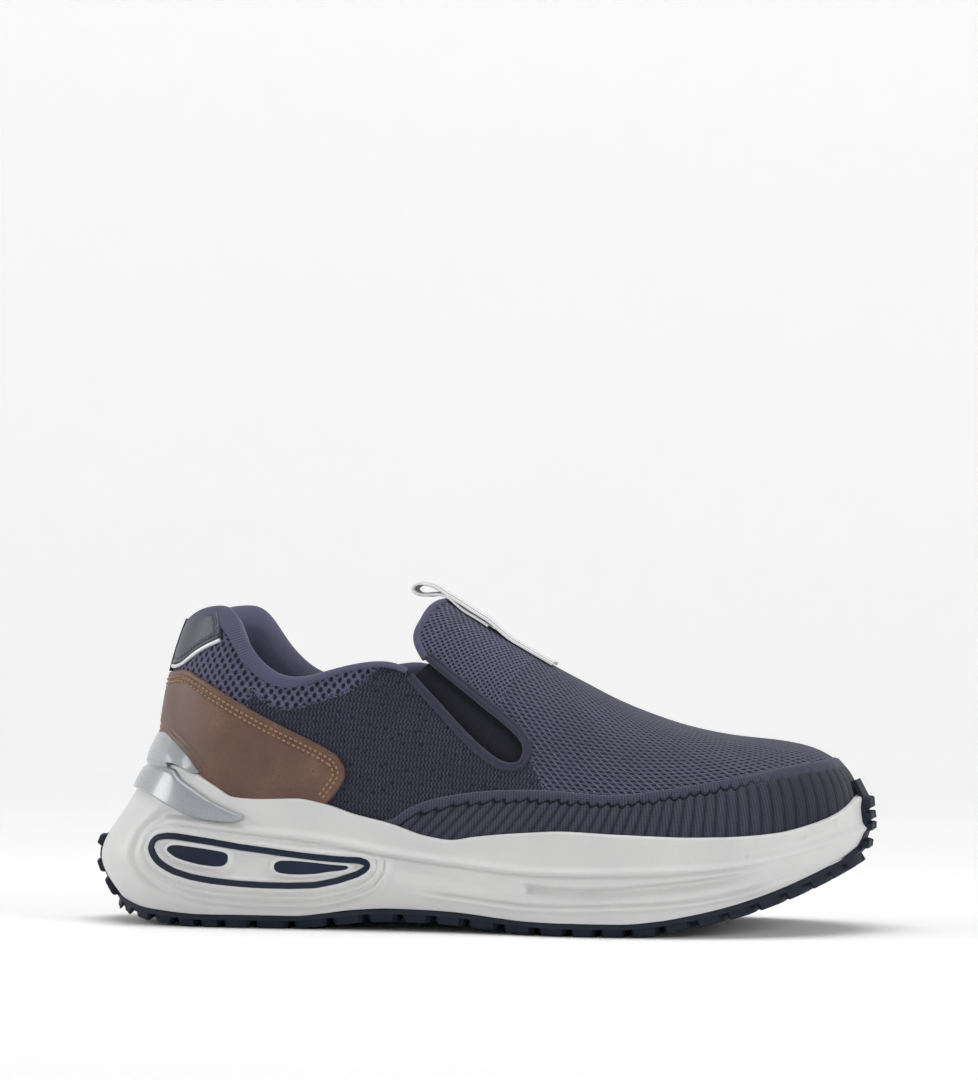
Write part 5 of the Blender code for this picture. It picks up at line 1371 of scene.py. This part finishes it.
# Panels sewn on the outside: thickness falls off round their edges, with grooves under the stitches
def edgeDistance(points):  # mm from each point of a grid to the grid's own free border
    border = np.concatenate([points[0], points[-1], points[:, -1]])[::2]
    flat = points.reshape(-1, 3)
    nearest = np.full(len(flat), 1.0)
    for spot in border:
        nearest = np.minimum(nearest, np.linalg.norm(flat - spot, axis=1))
    return nearest.reshape(points.shape[:2]) / mm


def panelPatch(side, sheet, low, thickness, grooves=(), edge=0.8):
    along, up = sheet[..., 0], sheet[..., 1]
    away = edgeDistance(last(side, along, up))
    roll = rounding(away, edge, 2)
    high = thickness * (0.35 + 0.65 * roll)
    for groove in grooves:
        high = high - 0.32 * mm * bump(groove, 0.65, away)
    fold = creases(side, along, up)
    return (skin(side, along, up, low + high + fold), skin(side, along, up, low + fold),
            clothUv(side, along, up), 0.0)


clipTable = np.array([
    (0.000, 1.060, 1.240, 1.500), (0.022, 1.050, 1.240, 1.500), (0.045, 1.005, 1.240, 1.435),
    (0.060, 0.960, 1.225, 1.375), (0.073, 0.925, 1.155, 1.315), (0.095, 0.867, 1.075, 1.180),
    (0.119, 0.833, 0.985, 1.100), (0.146, 0.822, 0.910, 1.100), (0.163, 0.838, 0.875, 1.100)])
clip = dict(fork=0.050, upperTip=0.092, lowerTip=0.163, thickness=1.3 * mm, gap=0.7 * mm, lip=0.5 * mm,
            roll=0.35, rounded=0.7 * mm, crown=0.35 * mm, bandRows=13)
counterTopTable = np.array([
    (0.000, 0.300), (0.021, 0.306), (0.039, 0.309), (0.067, 0.293), (0.105, 0.264), (0.148, 0.233),
    (0.189, 0.211), (0.230, 0.195), (0.269, 0.183), (0.289, 0.175)])
counterFrontTable = np.array([
    (0.276, 0.078), (0.283, 0.090), (0.297, 0.119), (0.303, 0.141), (0.300, 0.159), (0.289, 0.175)])
counter = dict(low=0.12 * mm, thickness=1.25 * mm, clearance=0.6 * mm, columns=200, rows=84,
               seams=(2.6, 4.4))
stitch = dict(pitch=2.1 * mm, counterRadius=0.4 * mm, tabRadius=0.25 * mm)
counterPatches, counterEdges = [], {}
for side in (-1, 1):
    front = trace(counterFrontTable, np.linspace(0, 1, counter["rows"]))
    lowAlong = unturned(np.linspace(0, turned(counterFrontTable[0, 0]), counter["columns"]))
    highAlong = unturned(np.linspace(0, turned(counterFrontTable[-1, 0]), counter["columns"]))
    clipTop = steadyOf(clipTable, 3, lowAlong) * form["wallHeight"]
    clipTop = np.where(lowAlong < clip["upperTip"], clipTop, 0)
    clear = np.maximum(wallTop(lowAlong) - 1.5 * mm, clipTop - 2.0 * mm) + counter["clearance"]
    low = np.stack([lowAlong, upAt(side, lowAlong, clear)], -1)
    edge = front.copy()
    edge[:, 1] += (low[-1, 1] - front[0, 1]) * np.linspace(1, 0, counter["rows"])
    high = np.stack([highAlong, curveOf(counterTopTable, 1, highAlong)], -1)
    back = np.stack([np.zeros(counter["rows"]), np.linspace(low[0, 1], high[0, 1], counter["rows"])], -1)
    counterPatches.append(panelPatch(side, coons(low, high, back, edge), counter["low"], counter["thickness"],
                                     grooves=counter["seams"], edge=1.0))
    counterEdges[side] = np.concatenate([high, edge[::-1][1:]])
panel = shellPiece("counterPanel", counterPatches, tanLeather, 55)
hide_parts("counter_panel")
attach(panel, "root")
seams = []
for side in (-1, 1):
    path = counterEdges[side]
    for inset in counter["seams"]:
        seam = beside(side, trace(path, np.linspace(0.002, 0.985, 240)), inset * mm)
        seams.append(stitchLine(side, seam, stitch["pitch"], 0.72,
                                counter["low"] + counter["thickness"] - 0.12 * mm))
seams = [np.concatenate(parts) for parts in zip(*seams)]
counterStitches = threadPiece("counterStitches", *seams, ochreThread, stitch["counterRadius"])
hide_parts("counter_panel")
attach(counterStitches, "root")

tabLowTable = np.array([(0.000, 0.325), (0.031, 0.331), (0.047, 0.352), (0.066, 0.374), (0.088, 0.394)])
tabFrontTable = np.array([(0.088, 0.394), (0.080, 0.429), (0.066, 0.468)])
heelTab = dict(low=0.15 * mm, thickness=0.95 * mm, columns=60, rows=44, lap=0.004, strapWidth=8.0,
               strap=0.6 * mm, pipe=0.8, pipeLift=0.55 * mm, pipeDrop=0.95)
tabPatches, tabLow, pipeGrids, strapPatches = [], {}, [], []
for side in (-1, 1):
    edge = trace(tabFrontTable, np.linspace(0, 1, heelTab["rows"]))
    lowAlong = unturned(np.linspace(0, turned(tabFrontTable[0, 0]), heelTab["columns"]))
    highAlong = lowAlong * tabFrontTable[-1, 0] / tabFrontTable[0, 0]
    low = np.stack([lowAlong, curveOf(tabLowTable, 1, lowAlong)], -1)
    high = np.stack([highAlong, topline(side, highAlong) - heelTab["lap"]], -1)
    front = edge.copy()
    front[-1] = high[-1]
    back = np.stack([np.zeros(heelTab["rows"]), np.linspace(low[0, 1], high[0, 1], heelTab["rows"])], -1)
    tabPatches.append(panelPatch(side, coons(low, high, back, front), heelTab["low"], heelTab["thickness"],
                                 grooves=(2.0,)))
    tabLow[side] = low
    pipe = low.copy()
    pipe[:, 1] = upDown(side, low[:, 0][None], low[:, 1][None],
                        np.full((1, len(low)), heelTab["pipeDrop"]))[0]
    place, normal, across = pathFrame(side, pipe, heelTab["pipeLift"], 0)
    spin = np.linspace(0, 2 * np.pi, 13)[:, None, None]
    tube = place[None] + (across[None] * np.cos(spin) + normal[None] * np.sin(spin)) * heelTab["pipe"] * mm
    pipeGrids.append(tube)
    pipeGrids.append(np.stack([tube[:6, -1], tube[:12, -1][::-1][:6]]))
    half = np.linspace(0, heelTab["strapWidth"] / 2, 9)
    widths = half * mm / (0.31 * form["ballWidth"])
    widths = widths**form["heelSquare"] / form["heelSquare"] * form["heelRound"] / form["length"]
    ups = np.linspace(counterTopTable[0, 1] + 0.004, topline(side, 0.0) + 0.004, 40)
    sheet = np.stack(np.broadcast_arrays(widths[None, :], ups[:, None]), -1)
    over = heelTab["low"] + heelTab["thickness"] + 0.05 * mm
    along, up = sheet[..., 0], sheet[..., 1]
    weaveUv = np.stack(np.broadcast_arrays(side * half[None, :], clothUv(side, along, up)[..., 1]), -1)
    strapPatches.append((skin(side, along, up, over + heelTab["strap"]),
                         skin(side, along, up, over - 0.3 * mm), weaveUv, 0.0))
tab = shellPiece("heelTab", tabPatches, navyLeather, 55)
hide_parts("heel_tab")
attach(tab, "root")
tabSeams = []
for side in (-1, 1):
    for curve, inset in ((tabLow[side], -2.2), (trace(tabFrontTable, np.linspace(0, 1, 60)), -2.0)):
        seam = beside(side, curve[2:], inset * mm)
        tabSeams.append(stitchLine(side, seam, stitch["pitch"], 0.7,
                                   heelTab["low"] + heelTab["thickness"] - 0.1 * mm))
tabSeams = [np.concatenate(parts) for parts in zip(*tabSeams)]
tabStitches = threadPiece("heelTabStitches", *tabSeams, greyThread, stitch["tabRadius"])
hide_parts("heel_tab")
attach(tabStitches, "root")
piping = solidPiece("heelPiping", pipeGrids, silverPiping, 60)
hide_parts("reflective_piping")
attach(piping, "root")
strap = shellPiece("heelStrap", strapPatches, darkWebbing, 50)
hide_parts("heel_strap")
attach(strap, "root")
print("heel panels made")


# Heel clip: a moulded band round the back, forked on each side over the foam's edge
def smoothRows(controls, times):  # a ladder of control rows cut finer along steady curves
    at = np.arange(len(controls))
    fine = np.linspace(0, len(controls) - 1, (len(controls) - 1) * times + 1)
    flat = np.stack(controls).reshape(len(controls), -1)
    out = np.stack([steady(at, flat[:, i], fine) for i in range(flat.shape[1])], -1)
    return out.reshape(len(fine), *controls[0].shape)


clipPatches = []
clipShares = unturned(np.linspace(0, turned(clip["lowerTip"]), 91))
for tipShare in (clip["fork"], clip["upperTip"]):
    clipShares[int(np.argmin(abs(clipShares - tipShare)))] = tipShare
fork = int(np.argmin(abs(clipShares - clip["fork"])))
tip = int(np.argmin(abs(clipShares - clip["upperTip"])))
for side in (-1, 1):
    low, split, top = [steadyOf(clipTable, i, clipShares) * form["wallHeight"] for i in (1, 2, 3)]
    rim = wallTop(clipShares)
    split = np.minimum(split, rim - clip["lip"])
    top = np.maximum(top, rim + clip["gap"] + clip["lip"])
    lowRows = []
    for share in np.linspace(0, 1, clip["bandRows"]):
        height = low * (1 - share) + split * share
        level = wallLevel(clipShares, height)
        base = flareAt(clipShares, level)
        edge = np.minimum(share, 1 - share) * (split - low)
        rounded = rounding(edge, clip["rounded"], 2)
        crown = clip["crown"] * np.sin(np.pi * share)
        lowRows.append((wallPoint(side, clipShares, level, base + clip["gap"]
                                  + clip["thickness"] * (0.3 + 0.7 * rounded) + crown),
                        wallPoint(side, clipShares, level, base + clip["gap"] * 0.2)))
    rimBase = flareAt(clipShares, np.ones(len(clipShares)))
    rimInner = wallPoint(side, clipShares, 1.0, rimBase + clip["gap"] * 0.2)
    rimOuter = wallPoint(side, clipShares, 1.0, rimBase + clip["gap"] + clip["thickness"])
    rimInner[:, 2] = rimOuter[:, 2] = rim + clip["gap"]
    seat = skin(side, clipShares, upAt(side, clipShares, rim + clip["gap"]), 0.3 * mm)
    seat[:, 2] = rim + clip["gap"]
    overOuter = wallPoint(side, clipShares, 1.0, rimBase + 2 * clip["roll"] * clip["thickness"])
    overOuter[:, 2] = rim + clip["gap"] + clip["roll"] * (top - rim - clip["gap"])
    topUp = upAt(side, clipShares, top)
    topInner = skin(side, clipShares, topUp, 0.3 * mm)
    topOuter = skin(side, clipShares, topUp, 0.3 * mm + clip["thickness"])
    upperOuter = smoothRows([rimOuter, overOuter, topOuter], 8)
    upperInner = smoothRows([rimInner, seat, topInner], 8)
    outer = np.concatenate([np.stack([row[0] for row in lowRows]), upperOuter])
    inner = np.concatenate([np.stack([row[1] for row in lowRows]), upperInner])
    keep = np.ones((len(outer) - 1, len(clipShares) - 1), bool)
    keep[clip["bandRows"] - 1, fork:] = False
    keep[clip["bandRows"]:, tip:] = False
    clipPatches.append((outer, inner, None, 0.0, keep))
heelClip = shellPiece("heelClip", clipPatches, greyPlastic, 40)
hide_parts("heel_clip")
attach(heelClip, "root")


# Pull tab: ribbon folded into a loop above the tongue's edge and sewn down on the instep
pull = dict(width=10.5 * mm, thickness=1.2 * mm, reach=14.3 * mm, gap=0.6 * mm, front=39.5 * mm,
            overlap=15 * mm, bend=8 * mm, lift=4 * mm, edge=1 * mm, along=150, across=24)
loopTable = np.array([(0.10, 0.26), (0.40, 0.43), (0.70, 0.50), (0.93, 0.46), (1.00, 0.34), (0.92, 0.26),
                      (0.55, 0.22), (0.12, 0.21)])


def overInstep(x, across):
    # height of the last's top a distance across from its middle line, solved in a few turns
    x, across = together(x, across)
    inward = np.ones(x.shape)
    centre = middle((x + form["heelSetback"]) / form["length"])
    for _ in range(12):
        span = form["length"] - (form["ridgeBack"] + form["ridgeFront"]) * inward
        along = (x + form["heelSetback"] - form["ridgeBack"] * inward) / span
        edge = np.where(across < 0, footprint(-1, along)[1], footprint(1, along)[1])
        inward = np.clip(1 - across / (edge - centre), 0.05, 1)
    power = 2 / curveOf(sectionTable, 3, along)
    angle = np.arccos(np.clip((1 - inward)**(1 / power), 0, 1))
    low = footbed(along)
    return low + (ridgeHeight(x) - low) * np.sin(angle)**power


tongueX, _, tongueZ = last(-1, tongueTable[-1, 0], 1.0)
startX, stitchX = tongueX + pull["front"], tongueX + pull["overlap"]
half = pull["thickness"] / 2


def lay(x, height):
    return np.stack([x, overInstep(x, np.zeros(len(x))) + height], -1)


route = np.concatenate([
    lay(np.linspace(startX, stitchX + pull["bend"], 5), pull["gap"] + half),
    lay(np.linspace(stitchX, tongueX + pull["lift"], 3), 2 * pull["gap"] + 3 * half),
    np.stack([tongueX - loopTable[:, 0] * pull["reach"], tongueZ + loopTable[:, 1] * pull["reach"]], -1),
    lay(np.linspace(tongueX + pull["lift"], stitchX, 3), pull["gap"] + half)])
route = trace(route, np.linspace(0, 1, pull["along"]))
tangent = np.gradient(route, axis=0)
tangent = unit(tangent)
normal = np.stack([-tangent[:, 1], tangent[:, 0]], -1)
share = np.linspace(-1, 1, pull["across"] + 1)
across = share * pull["width"] / 2
x = np.clip(route[:, 0], tongueX + pull["edge"], None)[:, None]
crown = overInstep(x, 0 * across) - overInstep(x, np.broadcast_to(across, (len(route), len(across))))
free = np.clip((route[:, 0] - tongueX + pull["reach"]) / pull["reach"], 0, 1)[:, None]
crown = crown * (0.2 + 0.8 * free)
pullY = middle((route[:, 0] + form["heelSetback"]) / form["length"])[:, None] + across
walked = walkAlongPoints(route) / mm
pullUv = np.stack(np.broadcast_arrays(across[None] / mm, walked[:, None]), -1)
thin = half * (0.55 + 0.45 * np.sqrt(np.clip(1 - np.clip((np.abs(share) - 0.94) / 0.06, 0, 1)**2, 0, 1)))
seamTone = bump(0.84, 0.05, np.abs(share))[None] * np.ones((len(route), 1))
pullFaces = []
for way in (1, -1):
    shiftX = route[:, :1] + normal[:, :1] * thin[None] * way
    shiftZ = route[:, 1:] + normal[:, 1:] * thin[None] * way
    grid = np.stack([shiftX, pullY, shiftZ - crown], -1)
    # outer faces get seam lines; the inner and under faces are darkened by tone 0.35, a painted shade
    pullFaces.append((grid, pullUv, seamTone if way < 0 else 0.35))
top, low = pullFaces[0][0], pullFaces[1][0]
pullGrids = list(pullFaces)
for i in (0, -1):
    pullGrids.append((np.stack([top[:, i], low[:, i]]), np.stack([pullUv[:, i], pullUv[:, i]])))
    pullGrids.append((np.stack([top[i], low[i]]), np.stack([pullUv[i], pullUv[i]])))
pullTab = solidPiece("pullTab", pullGrids, whiteWebbing, 50)
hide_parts("pull_tab")
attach(pullTab, "root")
print("pull tab made")


# Floor, light and camera
studio = dict(floor="#f1f1f1", glow=0.325, world=0.26, around=72, flat=1.7, bend=0.8, rim=1.3,
              camera=(0.4099, -1.4672, 0.1235), turn=12.0, pitch=0.823, lens=132.23)
backdrop = bpy.data.meshes.new("backdrop")
bend = np.linspace(0, np.pi / 2, 14)
reach = np.concatenate([[0.02, 0.6, 1.2], studio["flat"] + studio["bend"] * np.sin(bend),
                        [studio["flat"] + studio["bend"]]])
height = np.concatenate([[0, 0, 0], studio["bend"] * (1 - np.cos(bend)), [studio["rim"]]])
count = studio["around"]
spin = np.linspace(0, 2 * np.pi, count + 1)[:count]
rings = [[(r * np.cos(a), r * np.sin(a), z) for a in spin] for r, z in zip(reach, height)]
bowl = [[count * i + j, count * (i + 1) + j, count * (i + 1) + (j + 1) % count, count * i + (j + 1) % count]
        for i in range(len(rings) - 1) for j in range(count)]
backdrop.from_pydata([place for ring in rings for place in ring], [], bowl + [list(range(count))])
backdrop.shade_smooth()
floorMaterial, floorTree, floorShader = newMaterial(
    "matt studio paper, pale grey", Roughness=0.9, Base_Color=linear(studio["floor"]), Specular_IOR_Level=0.1)
# the paper glows softly far from the shoe, as a lit studio wall does, so that it stays even
place = addNode(floorTree, "TexCoord").outputs["Object"]
farOff = addNode(floorTree, "VectorMath", {0: place}, operation="LENGTH")
glow = addNode(floorTree, "MapRange", {"Value": farOff, "From Min": 0.5, "From Max": 1.5,
                                       "To Min": 0.0, "To Max": studio["glow"]})
floorTree.links.new(glow.outputs["Result"], floorShader.inputs["Emission Strength"])
floorShader.inputs["Emission Color"].default_value = linear(studio["floor"])
backdrop.materials.append(floorMaterial)
floor = bpy.data.objects.new("backdrop", backdrop)
bpy.context.scene.collection.objects.link(floor)

world = bpy.data.worlds.new("studio")
world.use_nodes = True
world.node_tree.nodes["Background"].inputs["Color"].default_value = linear("#ffffff")
world.node_tree.nodes["Background"].inputs["Strength"].default_value = studio["world"]
bpy.context.scene.world = world
bpy.context.scene.view_settings.view_transform = "Standard"


def softbox(name, place, aim, size, power):  # area light turned towards a point
    lamp = bpy.data.lights.new(name, "AREA")
    lamp.shape = "RECTANGLE"
    lamp.size, lamp.size_y = size
    lamp.energy = power
    made = bpy.data.objects.new(name, lamp)
    made.location = place
    direction = np.array(aim) - np.array(place)
    made.rotation_euler = (np.arctan2(np.hypot(direction[0], direction[1]), -direction[2]), 0,
                           np.arctan2(-direction[0], direction[1]))
    bpy.context.scene.collection.objects.link(made)


softbox("overhead", (0.05, 0.1, 1.4), (0.1, 0, 0.05), (1.1, 0.9), 13)
softbox("heel", (-1.5, -0.3, 0.7), (0.0, 0, 0.04), (0.7, 0.6), 9)
softbox("toe", (1.5, -0.7, 0.8), (0.2, 0, 0.04), (0.7, 0.6), 9)

camera = bpy.data.objects.new("camera", bpy.data.cameras.new("camera"))
camera.data.sensor_width = 36
camera.data.sensor_fit = "AUTO"
camera.data.lens = studio["lens"]
camera.data.clip_end = 20
camera.location = studio["camera"]
camera.rotation_euler = (np.radians(90 + studio["pitch"]), 0, np.radians(studio["turn"]))
bpy.context.scene.collection.objects.link(camera)
bpy.context.scene.camera = camera
